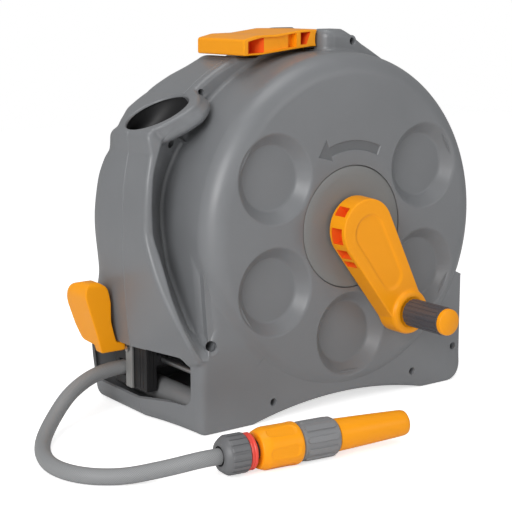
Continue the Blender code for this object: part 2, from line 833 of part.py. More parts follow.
def front_case(finish, parent):
    angles = turn_angles(6)
    case = front_skin("front_case", angles)
    flat = COVER_RADIUS - COVER_FILLET
    profile = [(0, FACE_Y + WALL), (flat, FACE_Y + WALL)]
    for step in range(1, 4):
        turn = math.pi / 2 * step / 3
        radius = flat + (COVER_FILLET - WALL) * math.sin(turn)
        profile.append((radius, COVER_FILLET - (COVER_FILLET - WALL) * math.cos(turn)))
    profile += [(COVER_RADIUS - WALL, SPLIT_Y + 0.001), (0, SPLIT_Y + 0.001)]
    hollow = turned("hollow", profile, (0, 0, AXIS_Z), segments=ROUND)
    hollow = join(hollow, front_ring_cavity("ring_cavity", angles))
    for cup in dimple("cup", WALL):
        cut(hollow, cup)
    cut(case, hollow)
    for cutter in dimple("dimple", 0.0):
        cut(case, cutter)
    collar_inner = HUB_RADIUS + 2 * GAP
    collar = tube("collar", (0, 0, AXIS_Z), collar_inner, collar_inner + COLLAR_WALL,
                  (FACE_Y + WALL / 2, FACE_Y + WALL + BUSH_LENGTH))
    join(case, collar)
    cut(case, rod("hub_hole", (0, 0, AXIS_Z), collar_inner, (FACE_Y - 0.01, FACE_Y + 0.03), segments=ROUND))
    for x, z, shoulder, length, front in screw_places():
        seat_end = shoulder + SCREW_HEAD_LENGTH
        if seat_end > SPLIT_Y:
            join(case, rod("tower", (x, 0, z), SCREW_TOWER, (front + WALL / 2, seat_end)))
        cut(case, rod("bore", (x, 0, z), SCREW_BORE, (FACE_Y - 0.01, shoulder)))
        cut(case, rod("pilot", (x, 0, z), SCREW_SHANK + GAP, (shoulder - 0.001, SPLIT_Y + 0.02), segments=12))
    cut(case, socket_solid("socket_space", SOCKET_WALL + SOCKET_CLEARANCE, GAP - SOCKET_SEAT))
    cut(case, socket_mouth("socket_mouth"))
    cut_opening(case)
    cut(case, knuckle_cutter("knuckle_slot"))
    x, z = HANDLE_PIVOT
    for place, radius in ((RAIL_PLACE, RAIL_RADIUS), (ROLLER_PLACE, AXLE_RADIUS)):
        join(case, rod("seat", place, radius + 0.003, (BASE_PLANE_Y + WALL / 2, SEAT_END_Y)))
        cut(case, rod("seat_hole", place, radius + GAP, (ROD_START_Y - GAP, SEAT_END_Y + 0.001)))
    pin_start = EAR_FRONT_Y + 0.004
    cut(case, rod("pin_hole", (x, 0, z), HANDLE_PIN + GAP, (pin_start, SPLIT_Y + 0.01)))
    return dress(case, finish, parent)


def rear_case(finish, parent):
    angles = turn_angles(6)
    case = rear_solid("rear_case", angles, 0.0, SPLIT_Y + GAP / 2)
    hollow = rear_solid("rear_hollow", angles, WALL, SPLIT_Y - 0.001)
    cut(case, hollow)
    recess_wall = tube("recess_wall", (0, 0, AXIS_Z), 0.010, REAR_RECESS_RADIUS + WALL,
                       (REAR_RECESS_Y - WALL, REAR_Y - WALL / 2))
    join(case, recess_wall)
    collar_inner = REAR_JOURNAL + BUSH_WALL + 2 * GAP
    collar = tube("rear_collar", (0, 0, AXIS_Z), collar_inner, collar_inner + COLLAR_WALL,
                  (REAR_RECESS_Y - WALL - BUSH_LENGTH - 0.001, REAR_RECESS_Y - WALL / 2))
    join(case, collar)
    cut(case, rod("recess", (0, 0, AXIS_Z), REAR_RECESS_RADIUS, (REAR_RECESS_Y, REAR_Y + 0.01), segments=ROUND))
    cut(case, rod("inlet_hole", (0, 0, AXIS_Z), INLET_RADIUS + GAP, (0.12, REAR_Y), segments=ROUND // 2))
    x, z = SOCKET_SCREW
    join(case, block("web", (x - 0.040, x + 0.003), (SPLIT_Y + GAP / 2, SPLIT_Y + 0.0065), (z - 0.013, z + 0.002)))
    for x, z, shoulder, length, front in screw_places():
        seat_end = max(shoulder + SCREW_HEAD_LENGTH, SPLIT_Y) + GAP
        cut(case, rod("tower_space", (x, 0, z), SCREW_TOWER + GAP, (SPLIT_Y - 0.01, seat_end)))
        join(case, rod("post", (x, 0, z), SCREW_TOWER, (seat_end, post_end(x, z)), segments=12))
        pilot_end = shoulder + length + 0.002
        cut(case, rod("pilot", (x, 0, z), SCREW_SHANK + GAP, (SPLIT_Y - 0.01, pilot_end), segments=12))
    cut(case, socket_solid("socket_space", SOCKET_WALL + SOCKET_CLEARANCE, GAP - SOCKET_SEAT))
    cut(case, socket_mouth("socket_mouth"))
    cut_opening(case)
    cut(case, knuckle_cutter("knuckle_slot"))
    x, z = HANDLE_PIVOT
    cut(case, rod("pin_hole", (x, 0, z), HANDLE_PIN + GAP, (SPLIT_Y - 0.01, KNUCKLE_Y[1] + 0.008)))
    for place, radius in ((RAIL_PLACE, RAIL_RADIUS), (ROLLER_PLACE, AXLE_RADIUS)):
        seat = rod("seat", place, radius + 0.003, (ROLLER_Y[1] + 0.001, REAR_Y - WALL / 2))
        join(case, seat)
        cut(case, rod("seat_hole", place, radius + GAP, (ROLLER_Y[1] - 0.002, REAR_Y - WALL)))
    return dress(case, finish, parent)


INLET_RADIUS = 0.0115
INLET_BORE = 0.007
SEAT_END_Y = OPENING_Y[0] - 0.001
ROD_START_Y = OPENING_Y[0] - 0.010
RAIL_PLACE = (RAIL_X, 0, RAIL_Z)
ROLLER_PLACE = (ROLLER_X, 0, ROLLER_Z)


def post_end(x, z):
    """Depth at which a screw post runs into the rear wall or into the rounded rear edge."""
    angle = math.degrees(math.atan2(z - AXIS_Z, x))
    if angle < TURN_START:
        angle += 360
    radius = math.hypot(x, z - AXIS_Z)
    edge = eased(REAR_EDGE_KEYS, angle)
    outer = reach(split_outline(), angle)
    inside = max(radius + SCREW_TOWER - (outer - edge), 0.0)
    drop = edge - math.sqrt(max(edge * edge - inside * inside, 0.0))
    return REAR_Y - WALL / 2 - drop


def dress(item, finish, parent):
    item.data.materials.clear()
    item.data.materials.append(finish)
    item.parent = parent
    finish_round(item)
    return item


def nozzle_socket(finish, parent):
    socket = socket_solid("nozzle_socket", SOCKET_WALL, -SOCKET_SEAT)
    cut(socket, socket_solid("bore", 0.0, 0.02))
    return dress(socket, finish, parent)


def case_screws(finish, parent):
    for number, (x, z, shoulder, length, front) in enumerate(screw_places(), 1):
        seat = shoulder - GAP
        profile = [(0, seat - SCREW_HEAD_LENGTH), (SCREW_HEAD, seat - SCREW_HEAD_LENGTH), (SCREW_HEAD, seat),
                   (SCREW_SHANK, seat), (SCREW_SHANK, seat + length), (0, seat + length)]
        dress(turned(f"case_screw_{number}", profile, (x, 0, z), segments=8), finish, parent)


def drum(finishes, parent):
    """Drum core between two flanges, each with its journal, and the hose that is wound on it."""
    centre = (0, 0, AXIS_Z)
    front_y = DRUM_FRONT_Y
    rear_y = DRUM_REAR_Y
    web = FACE_Y + HUB_THICK + GAP
    inner = FRONT_JOURNAL - CORE_WALL
    profile = [(CRANK_BOLT + GAP, web), (FRONT_JOURNAL, web), (FRONT_JOURNAL, front_y), (DRUM_RADIUS, front_y),
               (DRUM_RADIUS, front_y + FLANGE), (inner, front_y + FLANGE), (inner, web + 0.004),
               (CRANK_BOLT + GAP, web + 0.004)]
    dress(turned("front_flange", profile, centre), finishes["drum"], parent)
    core_span = (front_y + FLANGE + GAP, rear_y - GAP)
    core = tube("drum_core", centre, CORE_RADIUS - CORE_WALL, CORE_RADIUS, core_span)
    cut(core, rod("tail_hole", (0, TAIL_Y, AXIS_Z), HOSE_RADIUS + 2 * GAP, (0, 0.1), axis="Z"))
    dress(core, finishes["drum"], parent)
    bush_end = REAR_RECESS_Y - WALL - GAP
    bore = INLET_RADIUS + GAP + SEAL_WALL
    profile = [(bore, rear_y), (DRUM_RADIUS, rear_y), (DRUM_RADIUS, rear_y + FLANGE), (REAR_JOURNAL, rear_y + FLANGE),
               (REAR_JOURNAL, bush_end), (bore, bush_end)]
    dress(turned("rear_flange", profile, centre), finishes["drum"], parent)
    pack = tube("hose_pack", centre, CORE_RADIUS + GAP, PACK_RADIUS, (front_y + FLANGE + GAP, rear_y - GAP))
    dress(pack, finishes["hose"], parent)


CRANK_BOLT = 0.004
SEAL_WALL = 0.002
TAIL_Y = 0.120
TAIL_RADIUS = 0.0145


def hose_tube(name, points, finish, parent):
    path = bpy.data.curves.new(name, "CURVE")
    path.dimensions = "3D"
    path.bevel_depth = HOSE_RADIUS
    path.bevel_resolution = 2
    path.use_fill_caps = True
    spline = path.splines.new("POLY")
    spline.points.add(len(points) - 1)
    for target, point in zip(spline.points, points):
        target.co = (*point, 1)
    item = bpy.data.objects.new(name, path)
    bpy.context.scene.collection.objects.link(item)
    path.materials.append(finish)
    item.parent = parent
    return item


def smooth_route(route, spacing):
    """Evenly spaced points on a smooth curve through the route's own points."""
    padded = [2 * route[0] - route[1], *route, 2 * route[-1] - route[-2]]
    dense = []
    for index in range(1, len(padded) - 2):
        p0, p1, p2, p3 = padded[index - 1:index + 3]
        for step in range(12):
            t = step / 12
            bend = (2 * p0 - 5 * p1 + 4 * p2 - p3) * t * t
            swing = (3 * p1 - p0 - 3 * p2 + p3) * t * t * t
            dense.append(0.5 * (2 * p1 + (p2 - p0) * t + bend + swing))
    dense.append(route[-1])
    travelled = [0.0]
    for first, second in zip(dense, dense[1:]):
        travelled.append(travelled[-1] + (second - first).length)
    count = max(2, round(travelled[-1] / spacing))
    points = []
    index = 0
    for step in range(count + 1):
        goal = travelled[-1] * step / count
        while index < len(dense) - 2 and travelled[index + 1] < goal:
            index += 1
        span = max(travelled[index + 1] - travelled[index], 1e-9)
        points.append(dense[index].lerp(dense[index + 1], (goal - travelled[index]) / span))
    return points, travelled[-1]


# Route of the free hose: out of the guide, down to the floor and round to the connector
FREE_ROUTE = (
    (-0.181, 0.133, 0.0490), (-0.206, 0.133, 0.0490), (-0.230, 0.132, 0.0490), (-0.258, 0.128, 0.0450), (-0.290, 0.115, 0.0350),
    (-0.322, 0.092, 0.0200), (-0.350, 0.060, 0.0100), (-0.368, 0.020, 0.0083), (-0.371, -0.015, 0.0083),
    (-0.358, -0.046, 0.0083), (-0.332, -0.068, 0.0090), (-0.300, -0.085, 0.0140), (-0.270, -0.102, 0.0215),
    (-0.249, -0.105, 0.0215))


def hoses(finish, parent):
    """The stretch from the drum to the guide, and the free hose from the guide to the connector."""
    eye = Vector((FREE_ROUTE[0][0] + GAP, HOSE_EYE_Y, HOSE_EYE_Z))
    radius = PACK_RADIUS + HOSE_RADIUS + 3 * GAP
    lead = [eye, eye + Vector((0.030, 0, -0.0004))]
    for step in range(6):
        angle = math.radians(-102 + 11 * step)
        lead.append(Vector((radius * math.cos(angle), HOSE_EYE_Y, AXIS_Z + radius * math.sin(angle))))
    points, length = smooth_route(lead, 0.024)
    print("hose from drum to guide, m:", round(length, 3))
    hose_tube("hose_lead", points, finish, parent)
    route = [Vector(p) for p in FREE_ROUTE]
    forward = Vector((math.cos(NOZZLE_TURN), math.sin(NOZZLE_TURN), 0))
    route[-1] = Vector((*NOZZLE_START, BODY_RADIUS)) - forward * GAP
    route[-2] = route[-1] - forward * 2.5 * HOSE_RADIUS
    points, length = smooth_route(route, 0.020)
    print("free hose, m:", round(length, 3))
    hose_tube("free_hose", points, finish, parent)


def hub_and_crank(finishes, parent):
    centre = (0, 0, AXIS_Z)
    disc = tube("hub_disc", centre, CRANK_BOLT + GAP, HUB_RADIUS, (FACE_Y, FACE_Y + HUB_THICK))
    dress(disc, finishes["case"], parent)
    along = Vector((math.cos(CRANK_ANGLE), math.sin(CRANK_ANGLE)))
    tip = along * CRANK_THROW
    outline = capsule((0, AXIS_Z), CRANK_HUB_RADIUS, (tip[0], AXIS_Z + tip[1]), CRANK_TIP_RADIUS)
    arm = prism("crank_arm", outline, CRANK_FRONT_Y, CRANK_BACK_Y)
    tip_place = (tip[0], 0, AXIS_Z + tip[1])
    join(arm, rod("boss", tip_place, CRANK_BOSS_RADIUS, (CRANK_BOSS_Y, CRANK_BACK_Y - 0.002), segments=32))
    join(arm, rod("foot", centre, CRANK_FOOT_RADIUS, (CRANK_BACK_Y - 0.002, FACE_Y - GAP), segments=32))
    depth = (CRANK_FRONT_Y + 0.006, CRANK_BACK_Y - 0.005)
    for number in range(CRANK_POCKETS):
        angle = math.radians(150 + 27 * number)
        pocket = block("pocket", (CRANK_HUB_RADIUS - 0.012, CRANK_HUB_RADIUS + 0.02), depth, (-0.005, 0.005))
        pocket.data.transform(Matrix.Rotation(-angle, 4, "Y"))
        pocket.data.transform(Matrix.Translation(centre))
        cut(arm, pocket)
    bolt_end = CRANK_FRONT_Y + 0.006
    cut(arm, rod("bolt_hole", centre, CRANK_BOLT + GAP, (bolt_end - GAP, 0.001)))
    pin_seat = CRANK_BACK_Y - 0.006
    cut(arm, rod("pin_hole", tip_place, KNOB_PIN + GAP, (-0.06, pin_seat)))
    dress(arm, finishes["yellow"], parent)
    head_y = FACE_Y + HUB_THICK + GAP + 0.004 + GAP
    profile = [(0, bolt_end), (CRANK_BOLT, bolt_end), (CRANK_BOLT, head_y), (2 * CRANK_BOLT, head_y),
               (2 * CRANK_BOLT, head_y + CRANK_BOLT), (0, head_y + CRANK_BOLT)]
    dress(turned("crank_screw", profile, centre, segments=SMALL_ROUND), finishes["steel"], parent)
    knob_back = CRANK_BOSS_Y - GAP
    knob_front = knob_back - KNOB_LENGTH
    pin = rod("knob_spindle", tip_place, KNOB_PIN, (knob_front - GAP, pin_seat - GAP))
    dress(pin, finishes["steel"], parent)
    return tip_place, knob_back, knob_front


def capsule(first, first_radius, second, second_radius, steps=9):
    """Outline round two circles and the straight tangents between them."""
    first = Vector(first)
    second = Vector(second)
    direction = (second - first).normalized()
    heading = math.atan2(direction[1], direction[0])
    lean = math.acos((first_radius - second_radius) / (second - first).length)
    outline = []
    for middle, radius, start, end in ((first, first_radius, lean, 2 * math.pi - lean),
                                       (second, second_radius, -lean, lean)):
        for step in range(steps + 1):
            angle = heading + start + (end - start) * step / steps
            outline.append((middle[0] + radius * math.cos(angle), middle[1] + radius * math.sin(angle)))
    return outline


def knob(finishes, parent, place, back, front):
    grip = tube("knob_grip", place, KNOB_BORE, KNOB_RADIUS, (front, back), segments=24)
    cap = rod("knob_cap", place, KNOB_CAP_RADIUS, (front - GAP - KNOB_CAP_LENGTH, front - GAP), segments=24)
    cut(cap, rod("pin_clearance", place, KNOB_BORE, (front - 0.002, front + 0.002)))
    for item, finish in ((grip, "dark"), (cap, "yellow")):
        dress(item, finishes[finish], parent)
        set_origin(item, place)


def bearings(finishes, parent):
    centre = (0, 0, AXIS_Z)
    start = FACE_Y + HUB_THICK + GAP
    outer = HUB_RADIUS + GAP
    bush = tube("front_bush", centre, FRONT_JOURNAL + GAP, outer, (start, start + BUSH_LENGTH))
    dress(bush, finishes["dark"], parent)
    end = REAR_RECESS_Y - WALL - GAP
    inner = REAR_JOURNAL + GAP
    bush = tube("rear_bush", centre, inner, REAR_JOURNAL + BUSH_WALL + GAP, (end - BUSH_LENGTH, end))
    dress(bush, finishes["dark"], parent)


def water_inlet(finishes, parent):
    """Hollow axle fixed in the rear wall, with its nut, its two seals and the drum's hose tail."""
    centre = (0, 0, AXIS_Z)
    start = TAIL_Y + 0.020
    collar = REAR_RECESS_Y + GAP
    nipple = REAR_Y - 0.001
    shoulder = REAR_RECESS_Y - WALL - GAP
    profile = [(INLET_BORE, start), (INLET_RADIUS, start), (INLET_RADIUS, shoulder - 0.003),
               (INLET_RADIUS + 0.0015, shoulder - 0.003), (INLET_RADIUS + 0.0015, shoulder),
               (INLET_RADIUS, shoulder), (INLET_RADIUS, collar + 0.004),
               (0.0085, collar + 0.006), (0.0085, collar + 0.013), (0.0105, collar + 0.014), (0.0105, nipple - 0.002),
               (0.009, nipple), (INLET_BORE, nipple)]
    dress(turned("inlet_spindle", profile, centre, segments=24), finishes["dark"], parent)
    nut = rod("inlet_nut", centre, INLET_RADIUS + 0.007, (collar, collar + 0.004), segments=6)
    cut(nut, rod("nut_bore", centre, INLET_RADIUS + GAP, (REAR_RECESS_Y - 0.01, REAR_Y), segments=24))
    dress(nut, finishes["dark"], parent)
    for number in range(2):
        y = DRUM_REAR_Y + 0.003 + 0.006 * number
        inner = INLET_RADIUS + GAP / 2
        name = f"spindle_seal_{number + 1}"
        seal = tube(name, centre, inner + GAP / 2, inner + SEAL_WALL - GAP / 2, (y, y + 0.002), segments=24)
        dress(seal, finishes["dark"], parent)
    tail_end = DRUM_REAR_Y - GAP
    elbow = rod("drum_tail", centre, TAIL_RADIUS, (TAIL_Y - 0.012, tail_end), segments=24)
    join(elbow, rod("tail_flange", centre, TAIL_RADIUS + 0.008, (tail_end - 0.004, tail_end), segments=24))
    spout_end = CORE_RADIUS - GAP
    join(elbow, rod("spout", (0, TAIL_Y, AXIS_Z), HOSE_RADIUS, (0.004, spout_end), axis="Z", segments=SMALL_ROUND))
    cut(elbow, rod("elbow_bore", centre, INLET_BORE, (TAIL_Y - 0.007, start)))
    cut(elbow, rod("axle_bore", centre, INLET_RADIUS + GAP, (start - GAP, tail_end + 0.01), segments=24))
    cut(elbow, rod("spout_bore", (0, TAIL_Y, AXIS_Z), 0.0045, (0.001, CORE_RADIUS + 0.01), axis="Z"))
    return dress(elbow, finishes["dark"], parent)


def carry_handle(finishes, parent):
    x, z = HANDLE_PIVOT
    left = HANDLE_LEFT_X
    corners = [(left, 0.3865, 0.002), (left, 0.4040, 0.003), (left + 0.020, 0.4075, 0.02), (-0.050, 0.4090, 0.03),
               (-0.022, 0.4125, 0.02), (x, z + KNUCKLE_RADIUS, 0), (x, z - KNUCKLE_RADIUS + 0.002, 0),
               (-0.013, 0.3950, 0.01), (-0.045, 0.3915, 0.02), (-0.080, 0.3875, 0.02)]
    outline = rounded(corners, 3)
    handle = prism("carry_handle", outline, HANDLE_Y[0], HANDLE_Y[1])
    margin = 0.001
    shoulder = EAR_LEFT_X - 0.0012
    sweep = math.hypot(x - EAR_LEFT_X, EAR_TOP_Z - z) + 2 * GAP
    for y_span in ((HANDLE_Y[0] - margin, KNUCKLE_Y[0]), (KNUCKLE_Y[1], HANDLE_Y[1] + margin)):
        cut(handle, block("step", (shoulder, x + 0.02), y_span, (0.38, 0.43)))
        cut(handle, rod("ear_sweep", (x, 0, z), sweep, y_span, segments=64))
    join(handle, rod("knuckle", (x, 0, z), KNUCKLE_RADIUS, KNUCKLE_Y, segments=24))
    cut(handle, rod("pin_hole", (x, 0, z), HANDLE_PIN + GAP, (0, 0.3)))
    for x_span, low, high in (((-0.096, -0.072), 0.3905, 0.4035), ((-0.069, -0.032), 0.3935, 0.4065),
                              ((-0.029, -0.016), 0.3975, 0.4090)):
        for edge, inward in ((HANDLE_Y[0], 1), (HANDLE_Y[1], -1)):
            y_span = sorted((edge - inward * margin, edge + inward * HANDLE_POCKET_DEPTH))
            cut(handle, block("pocket", x_span, y_span, (low, high)))
    dress(handle, finishes["yellow"], parent)
    set_origin(handle, (x, 0, z))
    pin = rod("handle_pin", (x, 0, z), HANDLE_PIN, (EAR_FRONT_Y + 0.005, KNUCKLE_Y[1] + 0.007), segments=12)
    dress(pin, finishes["steel"], parent)


def hose_guide(finishes, parent):
    """Carriage with the hose's eye, which slides on the rail and is moved by the lever."""
    carriage = block("guide_carriage", GUIDE_X, GUIDE_Y, GUIDE_Z)
    sleeve_radius = RAIL_RADIUS + SLEEVE_WALL
    sleeve = block("sleeve", (GUIDE_X[1] - 0.001, RAIL_X + sleeve_radius), GUIDE_Y,
                   (RAIL_Z - sleeve_radius, RAIL_Z + sleeve_radius))
    join(carriage, sleeve)
    cut(carriage, rod("rail_hole", RAIL_PLACE, RAIL_RADIUS + GAP, (0, REAR_Y)))
    eye_half = HOSE_RADIUS + EYE_CLEARANCE
    eye = block("eye", (GUIDE_X[0] - 0.01, RAIL_X + 0.02), (HOSE_EYE_Y - eye_half, HOSE_EYE_Y + eye_half),
                (HOSE_EYE_Z - eye_half, HOSE_EYE_Z + eye_half))
    cut(carriage, eye)
    screw_y = sum(BRACKET_Y) / 2
    screw_place = (0, screw_y, GUIDE_SCREW_Z)
    face = GUIDE_X[0]
    cut(carriage, rod("screw_hole", screw_place, 0.002 + GAP, (face - 0.01, face + 0.0085), axis="X", segments=12))
    dress(carriage, finishes["black"], parent)
    plate_x = (face - GAP - BRACKET_THICK, face - GAP)
    bracket = block("guide_bracket", plate_x, BRACKET_Y, (GUIDE_Z[0], GUIDE_Z[1] + 0.002))
    cut(bracket, rod("screw_hole", screw_place, 0.002 + GAP, (face - 0.01, face + 0.01), axis="X", segments=12))
    dress(bracket, finishes["case"], parent)
    head = plate_x[0] - GAP
    profile = [(0, head - 0.0025), (GUIDE_SCREW_HEAD, head - 0.0025), (GUIDE_SCREW_HEAD, head), (0.002, head),
               (0.002, face + 0.008), (0, face + 0.008)]
    dress(turned("guide_screw", profile, screw_place, "X", 12), finishes["steel"], parent)
    lever(finishes, parent)
    rail_span = (ROD_START_Y, REAR_Y - WALL - 2 * GAP)
    dress(rod("guide_rail", RAIL_PLACE, RAIL_RADIUS, rail_span), finishes["steel"], parent)
    dress(rod("roller_axle", ROLLER_PLACE, AXLE_RADIUS, rail_span), finishes["steel"], parent)
    roller = tube("guide_roller", ROLLER_PLACE, ROLLER_BORE, ROLLER_RADIUS, ROLLER_Y, segments=24)
    dress(roller, finishes["case"], parent)
    set_origin(roller, ROLLER_PLACE)


def lever(finishes, parent):
    """Upright grip outside the case, with an arm at its foot that reaches in to the bracket."""
    x0, x1 = LEVER_X
    y0, y1 = LEVER_Y
    top = LEVER_TOP_Z
    inner = GUIDE_X[0] - BRACKET_THICK - 3 * GAP
    side = [(x0 + 0.002, 0.118, 0.02), (x0, 0.135, 0.01), (x0 + 0.001, top, 0.012), (x1 - 0.004, top, 0.014),
            (x1, 0.132, 0.03), (x1 + 0.003, 0.110, 0.03), (x1 + 0.007, ARM_Z[1], 0.006),
            (inner, ARM_Z[1], 0), (inner, ARM_Z[0], 0), (x0 + 0.010, ARM_Z[0], 0.006), (x0 + 0.005, 0.085, 0.01)]
    body = prism("guide_lever", rounded(side, 3), y0 - 0.001, y1 + 0.001)
    face = [(y0, ARM_Z[0] - 0.001, 0), (LEVER_FOOT_Y, ARM_Z[0] - 0.001, 0), (LEVER_FOOT_Y + 0.002, 0.085, 0.02),
            (y1, 0.125, 0.03), (y1, top + 0.0005, 0.018), (y0, top + 0.0005, 0.012)]
    width = prism("width", rounded(face, 3), x0 - 0.01, GUIDE_X[0] + 0.01, "X")
    boolean(body, width, "INTERSECT")
    dress(body, finishes["yellow"], parent)


def nozzle(finishes, parent):
    """Connector and nozzle, turned on one axis that lies on the floor."""
    pieces = []
    start = 0.0
    nut = [(HOSE_RADIUS + 2 * GAP, 0), (0.015, 0), (NUT_RADIUS, 0.005), (NUT_RADIUS, NUT_LENGTH),
           (HOSE_RADIUS + 2 * GAP, NUT_LENGTH)]
    pieces.append(("hose_nut", nut, "case"))
    start = NUT_LENGTH + GAP
    core_end = start + RING_LENGTH + BODY_LENGTH
    core = 0.010
    ring_profile = [(core + GAP, start), (RING_RADIUS, start), (RING_RADIUS, start + 0.007),
                    (RING_RADIUS - 0.0025, start + 0.0085), (core + GAP, start + 0.0085)]
    pieces.append(("connector_ring", ring_profile, "red"))
    body_start = start + RING_LENGTH
    body = [(core + GAP, body_start), (BODY_RADIUS - 0.003, body_start), (BODY_RADIUS, body_start + 0.008),
            (BODY_RADIUS, core_end - 0.006), (BODY_RADIUS - 0.0015, core_end), (core + GAP, core_end)]
    pieces.append(("connector_body", body, "yellow"))
    inner = [(0.004, start), (core, start), (core, core_end + 0.008), (0.004, core_end + 0.008)]
    pieces.append(("connector_core", inner, "dark"))
    grip_start = core_end + GAP
    grip_end = grip_start + GRIP_LENGTH
    grip = [(core + GAP, grip_start), (GRIP_RADIUS - 0.001, grip_start), (GRIP_RADIUS, grip_start + 0.004),
            (GRIP_RADIUS, grip_end - 0.004), (GRIP_RADIUS - 0.002, grip_end), (0.0125, grip_end),
            (0.0125, grip_start + 0.012), (core + GAP, grip_start + 0.012)]
    pieces.append(("nozzle_grip", grip, "case"))
    barrel_start = grip_start + 0.014
    barrel_end = grip_end + GAP + BARREL_LENGTH
    barrel = [(BARREL_BORE, barrel_start), (0.0120, barrel_start), (0.0120, grip_end + GAP),
              (BARREL_START_RADIUS, grip_end + GAP), (BARREL_END_RADIUS, barrel_end - 0.002),
              (BARREL_END_RADIUS - 0.002, barrel_end), (BARREL_BORE, barrel_end)]
    pieces.append(("nozzle_barrel", barrel, "yellow"))
    place = (*NOZZLE_START, BODY_RADIUS)
    for name, profile, finish in pieces:
        item = turned(name, profile, (0, 0, 0), "X", 24)
        dress(item, finishes[finish], parent)
        item.location = place
        item.rotation_euler = (0, 0, NOZZLE_TURN)


def main():
    clear_scene()
    finishes = {
        "case": make_material("case_grey", (0.190, 0.196, 0.205), 0.45),
        "yellow": make_material("bright_yellow", (0.940, 0.330, 0.015), 0.35),
        "dark": make_material("dark_grey", (0.070, 0.075, 0.085), 0.55),
        "black": make_material("black_plastic", (0.020, 0.020, 0.021), 0.45),
        "drum": make_material("drum_grey", (0.110, 0.113, 0.118), 0.50),
        "steel": make_material("steel", (0.560, 0.570, 0.580), 0.30, 1.0),
        "red": make_material("red_plastic", (0.780, 0.070, 0.055), 0.40),
        "hose": make_material("hose_grey", (0.200, 0.204, 0.208), 0.50)}
    frame = bpy.data.objects.new("reel_frame", None)
    bpy.context.scene.collection.objects.link(frame)
    front_case(finishes["case"], frame)
    rear_case(finishes["case"], frame)
    nozzle_socket(finishes["black"], frame)
    case_screws(finishes["steel"], frame)
    drum(finishes, frame)
    hoses(finishes["hose"], frame)
    tip_place, knob_back, knob_front = hub_and_crank(finishes, frame)
    knob(finishes, frame, tip_place, knob_back, knob_front)
    bearings(finishes, frame)
    water_inlet(finishes, frame)
    carry_handle(finishes, frame)
    hose_guide(finishes, frame)
    nozzle(finishes, frame)
    frame.location = ORIGIN


main()
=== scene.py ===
"""Enclosed garden hose reel: the looks of each piece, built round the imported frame.

Points are written in the reel's own frame, in metres: the drum axis along Y at x = 0, the face of the
drum cover at y = 0 and the floor at z = 0. REEL carries them into the frame of the CAD.
"""
import math

import bmesh
import bpy
import numpy as np
from mathutils import Matrix, Vector, geometry


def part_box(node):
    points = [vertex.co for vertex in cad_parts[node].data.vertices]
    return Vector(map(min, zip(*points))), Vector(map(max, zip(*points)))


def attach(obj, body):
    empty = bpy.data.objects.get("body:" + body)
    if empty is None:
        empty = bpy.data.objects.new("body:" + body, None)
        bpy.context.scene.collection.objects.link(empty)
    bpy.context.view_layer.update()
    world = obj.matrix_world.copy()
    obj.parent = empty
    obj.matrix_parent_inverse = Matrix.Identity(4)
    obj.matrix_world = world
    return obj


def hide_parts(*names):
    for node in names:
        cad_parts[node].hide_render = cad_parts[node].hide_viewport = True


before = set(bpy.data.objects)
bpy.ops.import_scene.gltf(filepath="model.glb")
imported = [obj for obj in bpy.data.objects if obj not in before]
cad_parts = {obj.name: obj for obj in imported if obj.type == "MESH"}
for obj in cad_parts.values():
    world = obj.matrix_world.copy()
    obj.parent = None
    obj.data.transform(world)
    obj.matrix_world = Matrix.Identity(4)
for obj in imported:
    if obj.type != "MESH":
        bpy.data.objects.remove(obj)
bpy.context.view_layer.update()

# Where the reel stands: the hub disc is centred on the drum axis and flush with the cover, and
# the reel's feet are on the floor. Every piece takes its place from this.
hub_low, hub_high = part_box("hub_disc")
REEL = Vector(((hub_low.x + hub_high.x) / 2, hub_low.y, 0.0))
AXIS_Z = (hub_low.z + hub_high.z) / 2
HUB_RADIUS = (hub_high.x - hub_low.x) / 2

# Camera: to the left of the reel, a little above the drum axis, with a long lens that gives the
# photograph's mild perspective.
SEEN_POINT = REEL + Vector((-0.1297, 0.0, 0.1844))
CAMERA_DISTANCE = 1.3855
CAMERA_YAW = math.radians(36.0)
CAMERA_PITCH = math.radians(11.11)
CAMERA_LENS = 93.97
CAMERA_SENSOR = 36.0
camera_back = Vector((-math.sin(CAMERA_YAW) * math.cos(CAMERA_PITCH),
                      -math.cos(CAMERA_YAW) * math.cos(CAMERA_PITCH), math.sin(CAMERA_PITCH)))
camera = bpy.data.objects.new("camera", bpy.data.cameras.new("camera"))
bpy.context.scene.collection.objects.link(camera)
camera.location = SEEN_POINT + camera_back * CAMERA_DISTANCE
camera.rotation_euler = camera_back.to_track_quat("Z", "Y").to_euler()
camera.data.lens = CAMERA_LENS
camera.data.sensor_width = CAMERA_SENSOR
bpy.context.scene.camera = camera
bpy.context.scene.view_settings.view_transform = "Standard"

